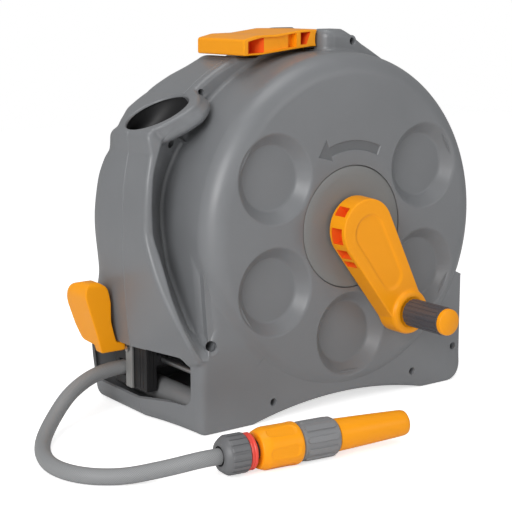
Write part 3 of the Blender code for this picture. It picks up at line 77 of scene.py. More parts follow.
# Hose: 12.5 mm bore garden hose, 16 mm outside, of soft grey plastic over a knitted yarn that shows
# through as fine crossing lines. The free end leaves the guide, drops to the floor in one wide
# curve and ends in the connector; the other end runs inside the case to the winding.
HOSE_RADIUS = 0.008
HOSE_COLOUR = (0.205, 0.209, 0.213, 1)
HOSE_YARN_COLOUR = (0.300, 0.305, 0.310, 1)
HOSE_YARNS = 12
HOSE_YARN_RISE = 0.00016
HOSE_SPACING = 0.006
HOSE_END_GAP = 0.0003
HOSE_STRAIGHT_RADII = 2.5
NOZZLE_START = Vector((-0.249, -0.105, 0.0215))
NOZZLE_TURN = math.radians(-7)
NOZZLE_FORWARD = Vector((math.cos(NOZZLE_TURN), math.sin(NOZZLE_TURN), 0.0))
FREE_ROUTE = [
    (-0.181, 0.133, 0.0490), (-0.206, 0.133, 0.0490), (-0.230, 0.132, 0.0490), (-0.258, 0.128, 0.0450),
    (-0.290, 0.115, 0.0350), (-0.322, 0.092, 0.0200), (-0.350, 0.060, 0.0100), (-0.368, 0.020, 0.0083),
    (-0.371, -0.015, 0.0083), (-0.358, -0.046, 0.0083), (-0.332, -0.068, 0.0090), (-0.300, -0.085, 0.0140)]
hose_end = NOZZLE_START - NOZZLE_FORWARD * HOSE_END_GAP
free_route = [Vector(point) for point in FREE_ROUTE]
free_route += [hose_end - NOZZLE_FORWARD * HOSE_STRAIGHT_RADII * HOSE_RADIUS, hose_end]


def smooth_route(route, spacing, between=24):
    """Even points on a smooth curve through the route's own points, and the curve's length."""
    padded = [2 * route[0] - route[1], *route, 2 * route[-1] - route[-2]]
    dense = []
    for index in range(1, len(padded) - 2):
        p0, p1, p2, p3 = padded[index - 1:index + 3]
        for step in range(between):
            t = step / between
            bend = (2 * p0 - 5 * p1 + 4 * p2 - p3) * t * t
            swing = (3 * p1 - p0 - 3 * p2 + p3) * t * t * t
            dense.append(0.5 * (2 * p1 + (p2 - p0) * t + bend + swing))
    table = np.array([*dense, route[-1]])
    travelled = np.concatenate([[0], np.cumsum(np.linalg.norm(np.diff(table, axis=0), axis=1))])
    goals = np.linspace(0, travelled[-1], max(2, round(travelled[-1] / spacing)) + 1)
    even = np.stack([np.interp(goals, travelled, table[:, axis]) for axis in range(3)], 1)
    return [Vector(point) for point in even], float(travelled[-1])


def polar(radius, degrees):
    """Place across and up at a distance and an angle, in degrees, from an axis."""
    turn = math.radians(degrees)
    return radius * math.cos(turn), radius * math.sin(turn)


def mesh_object(name, points, faces):
    """Object from points in the reel's frame; its place is in its mesh."""
    mesh = bpy.data.meshes.new(name)
    mesh.from_pydata([tuple(Vector(point) + REEL) for point in points], [], faces)
    mesh.update()
    item = bpy.data.objects.new(name, mesh)
    bpy.context.scene.collection.objects.link(item)
    return item


def band(before, after):
    """Faces that join two rings of points."""
    count = len(before)
    return [(before[i], before[(i + 1) % count], after[(i + 1) % count], after[i]) for i in range(count)]


def tube_faces(rings, around, closed=False):
    """Faces between neighbouring rings of a tube whose points lie ring after ring."""
    faces = []
    for ring in range(rings if closed else rings - 1):
        low, high = ring * around, (ring + 1) % rings * around
        faces += band(range(low, low + around), range(high, high + around))
    return faces


def mend(item, distance=0.0):
    """Turns all faces outwards. Given a distance, it first joins points and drops slivers so small."""
    bm = bmesh.new()
    bm.from_mesh(item.data)
    if distance:
        bmesh.ops.remove_doubles(bm, verts=bm.verts, dist=distance)
        bmesh.ops.dissolve_degenerate(bm, edges=bm.edges, dist=distance)
    bmesh.ops.recalc_face_normals(bm, faces=bm.faces)
    bm.to_mesh(item.data)
    bm.free()
    return item


def dress(item, material, body, *nodes, slot, angle=38):
    """Gives a finished piece its material and its body, hides the CAD nodes that it stands for, and keeps
    edges crisp that are sharper than the angle. The slot is not used."""
    if material is not None:
        item.data.materials.clear()
        item.data.materials.append(material)
    item.data.shade_smooth()
    item.data.set_sharp_from_angle(angle=math.radians(angle))
    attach(item, body)
    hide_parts(*nodes)
    return item


def hose_tube(name, points, radius, around=40):
    """Round tube along points, whose UV map is in hose diameters along and turns around."""
    rings, travelled = [], []
    side = Vector((0, 0, 1))
    for index, point in enumerate(points):
        before = points[max(index - 1, 0)]
        after = points[min(index + 1, len(points) - 1)]
        along = (after - before).normalized()
        side = (side - along * side.dot(along)).normalized()
        across = along.cross(side)
        travelled.append((travelled[-1] if index else 0.0) + (point - before).length)
        for step in range(around):
            turn = 2 * math.pi * step / around
            rings.append(point + radius * (math.cos(turn) * side + math.sin(turn) * across))
    ends = [tuple(range(around))[::-1], tuple(range(len(rings) - around, len(rings)))]
    item = mesh_object(name, rings, tube_faces(len(points), around) + ends)
    layer = item.data.uv_layers.new(name="UVMap")
    corners = ((0, 0), (0, 1), (1, 1), (1, 0))
    for face in item.data.polygons[:-len(ends)]:
        ring, step = divmod(face.index, around)
        for loop, (up, over) in zip(face.loop_indices, corners):
            layer.data[loop].uv = (travelled[ring + up] / (2 * radius), (step + over) / around)
    return mend(item)


def new_material(name):
    """New material, its node tree and its principled shader."""
    material = bpy.data.materials.new(name)
    material.use_nodes = True
    return material, material.node_tree, material.node_tree.nodes["Principled BSDF"]


def feed(node, inputs):
    """Gives a node's inputs plain values or other nodes' outputs."""
    for name, value in inputs.items():
        if isinstance(value, bpy.types.NodeSocket):
            node.id_data.links.new(value, node.inputs[name])
        else:
            node.inputs[name].default_value = value


def add(tree, kind, inputs=None, **settings):
    """Adds a node with its settings and inputs, and returns the node's first output."""
    node = tree.nodes.new(kind)
    for name, value in settings.items():
        setattr(node, name, value)
    feed(node, inputs or {})
    return node.outputs[0]


def maths(tree, operation, *values):
    """Result of one sum on plain numbers or nodes' outputs."""
    return add(tree, "ShaderNodeMath", dict(enumerate(values)), operation=operation)


def ranged(tree, value, low, high, new_low, new_high):
    """Value that is stretched from one range to another and stays within it."""
    return add(tree, "ShaderNodeMapRange", {"Value": value, "From Min": low, "From Max": high,
                                            "To Min": new_low, "To Max": new_high})


def mixed(tree, share, first, second):
    """Colour between a first and a second one."""
    return add(tree, "ShaderNodeMix", {0: share, 6: first, 7: second}, data_type="RGBA").node.outputs[2]


def raised(tree, height, strength, distance):
    """Surface direction of a fine relief, whose height is in metres."""
    return add(tree, "ShaderNodeBump", {"Strength": strength, "Distance": distance, "Height": height})


def hose_material():
    """Grey plastic with the crossing yarns of the braid showing through, on the tube's UV map."""
    material, tree, shader = new_material("hose_grey")
    place = add(tree, "ShaderNodeUVMap", uv_map="UVMap")
    along, around = add(tree, "ShaderNodeSeparateXYZ", {0: place}).node.outputs[:2]
    ridges = []
    for sense in (1, -1):
        round_turns = maths(tree, "MULTIPLY", around, HOSE_YARNS * sense)
        long_turns = maths(tree, "MULTIPLY", along, HOSE_YARNS / math.pi)
        phase = maths(tree, "MULTIPLY", maths(tree, "ADD", long_turns, round_turns), 2 * math.pi)
        ridges.append(maths(tree, "POWER", maths(tree, "ABSOLUTE", maths(tree, "COSINE", phase)), 3.0))
    yarn = maths(tree, "MAXIMUM", *ridges)
    feed(shader, {"Base Color": mixed(tree, yarn, HOSE_COLOUR, HOSE_YARN_COLOUR), "Roughness": 0.50,
                  "Normal": raised(tree, yarn, 0.6, HOSE_YARN_RISE)})
    return material


hose_grey = hose_material()
points, free_length = smooth_route(free_route, HOSE_SPACING)
free_hose = hose_tube("free_hose_skin", points, HOSE_RADIUS)
dress(free_hose, hose_grey, "guide", "free_hose", slot="hose_grey")
WINDING_RADIUS = 0.1559
WINDING_ANGLES = range(-102, -46, 11)
lead_route = [free_route[0] + Vector((0.0003, 0, 0)), free_route[0] + Vector((0.0303, 0, -0.0004))]
for degrees in WINDING_ANGLES:
    x, z = polar(WINDING_RADIUS, degrees)
    lead_route.append(Vector((x, free_route[0].y, AXIS_Z + z)))
lead_points = smooth_route(lead_route, HOSE_SPACING)[0]
dress(hose_tube("hose_lead_skin", lead_points, HOSE_RADIUS), hose_grey, "housing", "hose_lead",
      slot="hose_grey")

# Studio: white paper and a white background with plain soft light from all round, a large soft lamp
# at the front left and two weaker ones, above and to the right.
LAMPS = (
    ("left_lamp", (-2.15, -1.35, 1.15), 1.4, 40.0),
    ("top_lamp", (-0.2, -0.2, 2.2), 1.4, 12.0),
    ("right_lamp", (1.2, -2.2, 1.0), 1.2, 7.0))
LAMP_AIM = Vector((0, 0, 0.2))
WORLD_LEVEL = 0.34
WHITE = (1, 1, 1, 1)
for name, place, size, power in LAMPS:
    lamp = bpy.data.lights.new(name, "AREA")
    lamp.shape = "DISK"
    lamp.size = size
    lamp.energy = power
    holder = bpy.data.objects.new(name, lamp)
    holder.location = place
    holder.rotation_euler = (Vector(place) - LAMP_AIM).to_track_quat("Z", "Y").to_euler()
    bpy.context.scene.collection.objects.link(holder)
world = bpy.data.worlds.new("studio")
world.use_nodes = True
bpy.context.scene.world = world
straight_view = add(world.node_tree, "ShaderNodeLightPath").node.outputs["Is Camera Ray"]
feed(world.node_tree.nodes["Background"],
     {"Color": WHITE, "Strength": ranged(world.node_tree, straight_view, 0.0, 1.0, WORLD_LEVEL, 1.0)})
FLOOR_HALF = 3.0
FLOOR_DROP = 0.0001
FLOOR_GLOW = 0.66
floor_corners = [(x * FLOOR_HALF, y * FLOOR_HALF, -FLOOR_DROP)
                 for x, y in ((-1, -1), (1, -1), (1, 1), (-1, 1))]
floor = mesh_object("floor", floor_corners, [(0, 1, 2, 3)])
paper, tree, shader = new_material("floor_paper")
straight_view = add(tree, "ShaderNodeLightPath").node.outputs["Is Camera Ray"]
feed(shader, {"Base Color": (0.90, 0.90, 0.90, 1), "Roughness": 0.9, "Emission Color": WHITE,
              "Emission Strength": maths(tree, "MULTIPLY", straight_view, FLOOR_GLOW)})
floor.data.materials.append(paper)

# Front half of the housing: injection moulded in grey plastic with a fine spark texture, about 3 mm
# thick. The drum cover with its five dimples stands out of it; the base, the ridge and groove on the
# left, the boss of the nozzle hole and the ear of the handle are one moulding with it.
WALL = 0.003
SPLIT_Y = 0.097
SPLIT_GAP = 0.00015
COVER_RADIUS = 0.188
COVER_FILLET = 0.025
COVER_FLAT = COVER_RADIUS - COVER_FILLET
COVER_EDGE = 0.172
BASE_Y = 0.003
RIM_Y = 0.085
GROOVE_Y = 0.092
SIDE_LEFT_X = -0.232
EAR_LEFT_X = -0.004
EAR_TOP_Z = 0.4135
EAR_Y = 0.045
EAR_CORNER = 0.015
SOCKET_X = -0.188
SOCKET_Z = 0.330
SOCKET_TILT = math.radians(26.5)
SOCKET_BORE = 0.0356
SOCKET_RIM = 0.041
BOSS_RADIUS = 0.046
GROOVE_START = 149.8
GROOVE_END = 212.7
APPROACH_START = 141
EAR_ANGLES = (54, 91.1)
EAR_REAR_ANGLES = (52.5, 91.6)
BOSS_ANGLES = (120, 162)
BASE_SIDE_ANGLES = (180, 228)
RIGHT_FOOT_ANGLES = (-21, 335.5)
SCOOP_Z = 0.081
GROOVE_SLOPE = 0.65
BASE_WALL_EDGE = 0.020
BASE_SHELF_Z = 0.075


def rounded(corners, steps=10):
    """Outline with arcs at its corners; each corner is (across, up, radius)."""
    outline = []
    for index, (a, b, radius) in enumerate(corners):
        here = Vector((a, b))
        if radius <= 0:
            outline.append(here)
            continue
        before = Vector(corners[index - 1][:2]) - here
        after = Vector(corners[(index + 1) % len(corners)][:2]) - here
        half = before.angle(after) / 2
        setback = min(radius / math.tan(half), 0.49 * before.length, 0.49 * after.length)
        bend = setback * math.tan(half)
        middle = here + (before.normalized() + after.normalized()).normalized() * bend / math.sin(half)
        start = here + before.normalized() * setback - middle
        end = here + after.normalized() * setback - middle
        sweep = start.angle_signed(end)
        for step in range(steps + 1):
            outline.append(middle + Matrix.Rotation(-sweep * step / steps, 2) @ start)
    return outline


def arc(radius_start, radius_end, first, last, steps):
    """Corners on an arc about the drum axis whose radius may change evenly along it."""
    corners = []
    for step in range(steps + 1):
        share = step / steps
        across, up = polar(radius_start + (radius_end - radius_start) * share, first + (last - first) * share)
        corners.append((across, AXIS_Z + up, 0))
    return corners


def side_curve(base_x, keys):
    """Smooth line down the left side through (inset, height) keys."""
    points = smooth_route([Vector((base_x + inset, height, 0)) for inset, height in keys], 0.004)[0]
    return [(point.x, point.y, 0) for point in points]


def socket_edge(side):
    """Corner where the nozzle hole's rim ends, on its right (1) or its left (-1)."""
    across = side * SOCKET_RIM
    corner = 0.004 if side > 0 else 0.008
    return SOCKET_X + across * math.cos(SOCKET_TILT), SOCKET_Z + across * math.sin(SOCKET_TILT), corner


ARCH_MIDDLE = -0.0085
ARCH_HALF = 0.1215
ARCH_HEIGHT = 0.015
ARCH = [(ARCH_MIDDLE + (-1 + step / 12) * ARCH_HALF, ARCH_HEIGHT * (1 - (-1 + step / 12) ** 2), 0)
        for step in range(25)]
SPLIT_OUTLINE = rounded([
    (0.186, 0, 0.020), (0.198, 0.080, 0.060), *arc(0.205, 0.205, -10, 75.6, 60), (0.037, 0.407, 0.008),
    (0.024, EAR_TOP_Z, 0.008), (EAR_LEFT_X, EAR_TOP_Z, 0.002), *arc(0.192, 0.192, 91.2, 110.5, 18),
    *arc(0.194, 0.205, 111.5, 117, 8), *arc(0.205, 0.212, 118.2, 137, 15), socket_edge(1), socket_edge(-1),
    *side_curve(SIDE_LEFT_X, ((0.009, 0.290), (0.003, 0.258), (0, 0.212), (0.001, 0.160), (0.004, 0.110),
                              (0.010, 0.060))),
    (-0.213, 0, 0.014), *ARCH])
FRONT_OUTLINE = rounded([
    (0.174, 0, 0.020), *arc(COVER_RADIUS, COVER_RADIUS, -22.2, 135, 60), socket_edge(1), socket_edge(-1),
    *side_curve(SIDE_LEFT_X, ((0.010, 0.290), (0.003, 0.258), (0, 0.215), (0.001, 0.175), (0.008, 0.137),
                              (0.020, 0.100))),
    (-0.200, BASE_SHELF_Z - 0.003, 0), (-0.200, 0, 0.010), *ARCH])
EAR_OUTLINE = rounded([
    (0.117, 0.353, 0), (0.037, 0.407, 0.012), (0.024, EAR_TOP_Z, 0.012), (EAR_LEFT_X, EAR_TOP_Z, 0.006),
    (EAR_LEFT_X, AXIS_Z, 0), (0.117, AXIS_Z, 0)])


def reach(outline, angles):
    """Distance from the drum axis to an outline, at each angle in degrees."""
    start = np.array([(point[0], point[1] - AXIS_Z) for point in outline])
    edge = np.roll(start, -1, 0) - start
    turn = np.radians(angles)[:, None]
    away = np.cos(turn), np.sin(turn)
    cross = away[0] * edge[:, 1] - away[1] * edge[:, 0]
    cross = np.where(np.abs(cross) < 1e-12, 1e-12, cross)
    along = (start[:, 0] * edge[:, 1] - start[:, 1] * edge[:, 0]) / cross
    share = (start[:, 0] * away[1] - start[:, 1] * away[0]) / cross
    hit = (along > 0) & (share >= -1e-6) & (share <= 1 + 1e-6)
    return np.where(hit, along, 0).max(1)


def eased(keys, places):
    """Values on a smooth line through (place, value) keys, which overshoots none of them."""
    spots, values = np.array(keys).T
    secant = np.diff(values) / np.diff(spots)
    before, after = secant[:-1], secant[1:]
    total = np.where(before * after > 0, before + after, 1.0)
    slope = np.concatenate([[0], np.where(before * after > 0, 2 * before * after / total, 0), [0]])
    index = np.clip(np.searchsorted(spots, places) - 1, 0, len(keys) - 2)
    span = spots[index + 1] - spots[index]
    share = np.clip((places - spots[index]) / span, 0, 1)
    start, end = values[index], values[index + 1]
    value = start * (1 + 2 * share) * (1 - share) ** 2 + end * (3 - 2 * share) * share ** 2
    swing = slope[index] * share * (1 - share) ** 2 - slope[index + 1] * (1 - share) * share ** 2
    return value + swing * span


# Keys by angle round the drum axis, in degrees, each with a length: depth of the foremost plane outside
# the cover, width of its rounded edge, radius of the groove's outer wall and depth of its floor. The
# base leans back by height, and the last keys are the rounding of the case's rear edge.
CREST_KEYS = (
    (53.5, RIM_Y), (54.7, EAR_Y), (91.0, EAR_Y), (91.3, RIM_Y), (148.5, RIM_Y), (152.5, 0.0590),
    (156, 0.0550), (161, 0.0535), (168.6, 0.0515), (176.8, 0.0515), (185.5, 0.0395), (192.4, 0.028),
    (198.2, 0.018), (202.7, 0.011), (207, 0.0050), (212, BASE_Y), (336.6, BASE_Y), (338, RIM_Y))
EDGE_KEYS = (
    (50, 0.003), (55, 0.009), (90, 0.009), (92, 0.006), (135, 0.006), (142, 0.0054), (150, 0.0054),
    (165, 0.005), (200, 0.005), (212, 0.014), (223, 0.014), (227, 0.004), (310, 0.004), (316, 0.008),
    (336, 0.008), (338, 0.003))
GROOVE_KEYS = (
    (149.6, 0.2255), (152.5, 0.2275), (156, 0.2285), (161, 0.2285), (168.5, 0.2255), (177, 0.2212),
    (186, 0.2195), (196, 0.2240), (205, 0.2280), (213, 0.2295))
FLOOR_KEYS = (
    (149.6, 0.0860), (153.5, 0.0890), (164, GROOVE_Y), (171, 0.0905), (177.3, 0.087), (188.5, 0.078),
    (195.7, 0.063), (202.5, 0.045), (206.3, 0.031), (209.4, 0.017), (GROOVE_END, 0.0036))
LEAN_KEYS = (
    (0.085, BASE_Y), (0.110, 0.006), (0.140, 0.010), (0.165, 0.013), (0.190, 0.018), (AXIS_Z, 0.022))
REAR_EDGE_KEYS = (
    (-22, 0.030), (0, 0.055), (40, 0.060), (112, 0.060), (122, 0.064), (130, 0.052), (137, 0.043),
    (144, 0.052), (149, 0.076), (153, 0.097), (157, 0.092), (161, 0.077), (168, 0.065), (178, 0.059),
    (192, 0.066), (199, 0.052), (205, 0.030), (216, 0.016), (222, 0.014), (229, 0.005), (312, 0.005),
    (318, 0.014), (338, 0.030))
BOSS_LENGTH = 0.0275
BOSS_EDGE = 0.013
BOSS_FLARE = 0.008
BOSS_SOFTNESS = 0.006
BOSS_GROOVE_SOFTNESS = 0.004
TURN_STEP = 1.2
FINE_TURNS = (
    (53.3, 57, 0.25), (85, 91.6, 0.3), (114, 118, 0.25), (135, 162, 0.5), (178, 230, 0.5), (300, 317, 0.5),
    (333, 338, 0.2))


def turn_angles():
    """Angles of the columns round the drum axis, closer together where the outline turns sharply."""
    angles = list(np.arange(-22.0, 338.0, TURN_STEP))
    for first, last, step in FINE_TURNS:
        angles = [angle for angle in angles if not first - 0.3 < angle < last + 0.3]
        angles += list(np.arange(first, last - 0.1, step))
    return np.array(sorted(angles))


def within(angles, limits):
    """Whether each angle is between two limits."""
    return (angles > limits[0]) & (angles < limits[1])


def spread(radius, angles):
    """Places across and up of points at distances and angles, in degrees, from the drum axis."""
    turn = np.radians(angles)
    return radius * np.cos(turn), AXIS_Z + radius * np.sin(turn)


def nearer(first, second, softness):
    """The nearer of two depths to the front, with a soft hollow where they meet."""
    mix = np.clip(0.5 + 0.5 * (second - first) / softness, 0, 1)
    return second + (first - second) * mix - softness * mix * (1 - mix) * 0.5


def boss_depth(x, z):
    """Depth of the nozzle hole's round boss, whose lower end is rounded off."""
    across = (x - SOCKET_X) * math.cos(SOCKET_TILT) + (z - SOCKET_Z) * math.sin(SOCKET_TILT)
    height = (z - SOCKET_Z) * math.cos(SOCKET_TILT) - (x - SOCKET_X) * math.sin(SOCKET_TILT)
    fall = np.clip((BOSS_EDGE - BOSS_LENGTH - height) / BOSS_EDGE, 0, 1)
    flare = BOSS_FLARE * np.clip(-height / 0.012, 0, 1) * np.clip(0.3 + across / 0.03, 0, 1)
    radius = (BOSS_RADIUS + flare) * np.sqrt(1 - fall ** 2.5)
    return SPLIT_Y - np.sqrt(np.maximum(radius ** 2 - across ** 2, 0))


def crest_depth(radius, angle):
    """Depth of the moulding outside the drum cover, over the groove's outer wall."""
    x, z = spread(radius, angle)
    depth = eased(CREST_KEYS, angle)
    inward = np.clip(x - EAR_LEFT_X, 0, EAR_CORNER)
    corner = EAR_CORNER - np.sqrt(EAR_CORNER ** 2 - (EAR_CORNER - inward) ** 2)
    depth = np.where(within(angle, (80, EAR_ANGLES[1])), depth + corner, depth)
    leaning = within(angle, (GROOVE_END, BASE_SIDE_ANGLES[1]))
    depth = np.where(leaning, np.maximum(depth, eased(LEAN_KEYS, z)), depth)
    return np.where(within(angle, BOSS_ANGLES), nearer(boss_depth(x, z), depth, BOSS_SOFTNESS), depth)


def groove_wall(angles):
    """Radius of the groove's outer wall, or 0 where there is no groove."""
    scoop = (AXIS_Z - SCOOP_Z) / np.maximum(-np.sin(np.radians(angles)), 0.1)
    wall = np.minimum(eased(GROOVE_KEYS, angles), scoop)
    return np.where((angles < GROOVE_START) | (angles > GROOVE_END), 0, wall)


BASE_WALL_REACH = 0.224
BASE_WALL_FADE = (212, 227)


def base_wall(angles):
    """Radius of the wall beside the groove: the drum cover, and below the axis the base's upright wall."""
    first, last = BASE_WALL_FADE
    fade = np.clip((last - angles) / (last - first), 0, 1)
    limit = COVER_RADIUS + (BASE_WALL_REACH - COVER_RADIUS) * fade ** 2 * (3 - 2 * fade)
    upright = np.minimum(COVER_RADIUS / np.maximum(-np.cos(np.radians(angles)), 0.1), limit)
    return np.where((angles <= 180) | (angles > 250), COVER_RADIUS, upright)


def lean_depth(radius, angles):
    """Depth of the base's front plane, which leans back where it runs up beside the cover."""
    return eased(LEAN_KEYS, AXIS_Z + radius * np.sin(np.radians(angles)))


COVER_TO_BASE_SLOPE = 40
COVER_TO_BASE_SOFTNESS = 0.0070


def base_depth(radius, angles, edge):
    """Depth beside the cover: its rounded edge and the base's rounded upright corner, softly joined."""
    beyond = np.clip(radius - COVER_RADIUS, 0, 1)
    cover = cover_depth(np.minimum(radius, COVER_RADIUS)) + COVER_TO_BASE_SLOPE * beyond
    inward = np.clip(edge - COVER_RADIUS - radius * np.cos(np.radians(angles)), 0, edge)
    corner = lean_depth(radius, angles) + edge - np.sqrt(edge ** 2 - inward ** 2)
    return nearer(cover, corner, COVER_TO_BASE_SOFTNESS)


def quarter(start, end, bulge, count):
    """Points on a quarter round from start to end, whose tangents meet at bulge."""
    points = []
    for step in range(1, count + 1):
        turn = math.pi / 2 * step / count
        points.append(bulge + (start - bulge) * (1 - math.sin(turn)) + (end - bulge) * (1 - math.cos(turn)))
    return points


def straight(start, end, count):
    """Even points from start, which is left out, to end."""
    return [start + (end - start) * step / count for step in range(1, count + 1)]


def cover_depth(radius):
    """Depth of the drum cover's face, which is flat and then rounds off to its rim."""
    beyond = np.clip(radius - COVER_FLAT, 0, COVER_FILLET)
    return COVER_FILLET - np.sqrt(COVER_FILLET ** 2 - beyond ** 2)


WALL_COLUMNS = 23
GROOVE_COLUMNS = 18
CREST_COLUMNS = 12
FOOT_HOLLOW = 0.0040
GROOVE_ROOT = 0.0045
GROOVE_LIP = 0.0035
SPLIT_CHAMFER = 0.0005


def front_profiles(angles):
    """Columns of (radius, depth) from the cover's edge to the split plane, with one row for each angle.
    Small steps keep neighbouring columns apart, so that no face has zero width."""
    def at(radius, depth):
        return np.stack(np.broadcast_arrays(radius, depth), 1).astype(float)

    groove = groove_wall(angles)
    has_groove = groove > 0
    beside = within(angles, BASE_SIDE_ANGLES)
    wall = np.where(beside, base_wall(angles), COVER_RADIUS)
    crest_start = crest_depth(np.where(beside, wall, COVER_RADIUS + 0.002), angles)
    floor = np.where(has_groove, eased(FLOOR_KEYS, angles), crest_start)
    edge = np.clip(floor - lean_depth(wall, angles) - 0.0006, 0.00002, BASE_WALL_EDGE)
    first = math.asin((COVER_EDGE - COVER_FLAT) / COVER_FILLET)
    bend = np.arccos(1 - np.minimum(floor, COVER_FILLET) / COVER_FILLET)
    columns = [at(np.full(len(angles), COVER_EDGE), cover_depth(COVER_EDGE))]
    for step in range(1, WALL_COLUMNS + 1):
        share = math.sin(math.pi / 2 * step / WALL_COLUMNS)
        beside_radius = COVER_EDGE + (wall - COVER_EDGE) * share
        turn = first + (bend - first) * step / WALL_COLUMNS
        radius = np.where(beside, beside_radius, COVER_FLAT + COVER_FILLET * np.sin(turn))
        depth = np.where(beside, base_depth(beside_radius, angles, edge), COVER_FILLET * (1 - np.cos(turn)))
        columns.append(at(radius, depth))
    wall_end = columns[-1][:, 0]
    hollow = np.clip((floor - columns[-1][:, 1]) * 0.6, 0.00002, FOOT_HOLLOW)
    columns += straight(columns[-1], at(wall_end + 0.0001, floor - hollow), 5)
    foot = at(wall_end + hollow, floor)
    columns += quarter(columns[-1], foot, at(wall_end + 0.0001, floor), 5)
    inner = np.where(has_groove, np.maximum(groove, foot[:, 0] + 0.0006), foot[:, 0] + 0.0008)
    approach = within(angles, (APPROACH_START, GROOVE_START))
    share = np.clip((angles - APPROACH_START) / (GROOVE_START - APPROACH_START), 0, 1)
    inner = np.where(approach, inner + (GROOVE_KEYS[0][1] - inner) * share, inner)
    floor = floor - GROOVE_SLOPE * np.where(has_groove, np.maximum(floor - crest_depth(inner, angles), 0), 0)
    split = reach(SPLIT_OUTLINE, angles)
    outline = np.where(angles > GROOVE_START - 0.2, reach(FRONT_OUTLINE, angles), split)
    outline = np.where(within(angles, EAR_ANGLES), reach(EAR_OUTLINE, angles), outline)
    edge = eased(EDGE_KEYS, angles)
    rise = np.where(has_groove, floor - crest_depth(inner, angles), 0.0)
    lip = np.minimum(GROOVE_LIP, np.maximum(rise * 0.45, 0.0002))
    root = np.minimum(GROOVE_ROOT, np.maximum(rise * 0.45, 0.0001))
    root = np.minimum(root, np.maximum(inner - foot[:, 0] - 0.0003, 0.0001))
    floor_start = len(columns)
    columns += straight(foot, at(np.maximum(inner - root, foot[:, 0] + 0.0002), floor), GROOVE_COLUMNS)
    columns += quarter(columns[-1], at(inner, floor - root * has_groove), at(inner, floor), 4)
    crest = crest_depth(inner + lip, angles)
    columns += straight(columns[-1], at(inner + 0.0001, np.where(has_groove, crest + lip, floor)), 4)
    columns += quarter(columns[-1], at(inner + lip, crest), at(inner + 0.0001, crest), 4)
    near_boss = has_groove & (angles < BOSS_ANGLES[1])
    for column in columns[floor_start:-1]:
        x, z = spread(column[:, 0], angles)
        joined = nearer(boss_depth(x, z), column[:, 1], BOSS_GROOVE_SOFTNESS)
        column[:, 1] = np.where(near_boss, joined, column[:, 1])
        column[:, 1] = np.where(approach, crest_depth(column[:, 0], angles), column[:, 1])
    outer = np.maximum(outline, inner + lip + 0.0006)
    edge = np.minimum(edge, np.maximum(outer - inner - lip - 0.0002, 0.0002))
    for step in range(1, CREST_COLUMNS + 1):
        radius = inner + lip + (outer - edge - inner - lip) * step / CREST_COLUMNS
        columns.append(at(radius, crest_depth(radius, angles)))
    corner = at(outer, columns[-1][:, 1])
    split = np.maximum(split, np.minimum(outer, split + 0.0001))
    depth = np.minimum(corner[:, 1] + edge, SPLIT_Y - 0.002)
    columns += quarter(columns[-1], at(outer, depth), corner, 7)
    columns += straight(columns[-1], at(split, SPLIT_Y - SPLIT_CHAMFER - SPLIT_GAP), 6)
    columns.append(at(split - SPLIT_CHAMFER, SPLIT_Y - SPLIT_GAP))
    return columns


DIMPLE_PITCH = 0.120
DIMPLE_ANGLES = (30, 150, 210, 270, 330)
DIMPLE_RADIUS = 0.048
DIMPLE_FLOOR = 0.035
DIMPLE_DEPTH = 0.013
DIMPLE_BORDER = 0.0505
DIMPLE_ROUNDS = 120
DIMPLE_SOFTNESS = 0.0013
DIMPLE_RADII = [*np.arange(0.0497, 0.0307, -0.0009), 0.028, 0.022, 0.014, 0.006]


def dimple_depth(radius):
    """Depth of a dimple at a distance from its middle: flat floor, sloping side and soft edges."""
    slope = DIMPLE_DEPTH / (DIMPLE_RADIUS - DIMPLE_FLOOR)
    side = (DIMPLE_RADIUS - radius) * slope
    soft = np.clip(0.5 + side / (4 * DIMPLE_SOFTNESS), 0, 1)
    side = side * soft + DIMPLE_SOFTNESS * soft * (1 - soft)
    side = np.where(radius > DIMPLE_BORDER - 0.0005, 0, side)
    over = side - DIMPLE_DEPTH
    deep = np.clip(0.5 - over / (4 * DIMPLE_SOFTNESS), 0, 1)
    return np.clip(DIMPLE_DEPTH + over * deep - DIMPLE_SOFTNESS * deep * (1 - deep), 0, DIMPLE_DEPTH)


ARROW_BAND = (0.0833, 0.0948)
ARROW_HEAD = (0.0780, 0.1048)
ARROW_ANGLES = (65.2, 110.2, 121.4)
ARROW_TIP_RADIUS = 0.0920
ARROW_DEPTH = 0.0012
ARROW_STEPS = 24


def arrow_outline(inset):
    """Turning arrow above the hub: a curved band with a pointed head at its left end."""
    first, neck, tip = ARROW_ANGLES
    shift = math.degrees(inset / ARROW_BAND[1])
    turns = [(neck - first) * step / ARROW_STEPS for step in range(ARROW_STEPS + 1)]
    points = [polar(ARROW_BAND[1] - inset, first + shift + turn) for turn in turns]
    points += [polar(ARROW_HEAD[1] - 2 * inset, neck + shift), polar(ARROW_TIP_RADIUS, tip - 1.6 * shift),
               polar(ARROW_HEAD[0] + 2 * inset, neck + shift)]
    return points + [polar(ARROW_BAND[0] + inset, neck + shift - turn) for turn in turns]


HUB_LIP = 0.0008
HUB_HOLE = HUB_RADIUS + 0.0006
FACE_RING_STEP = 0.0015


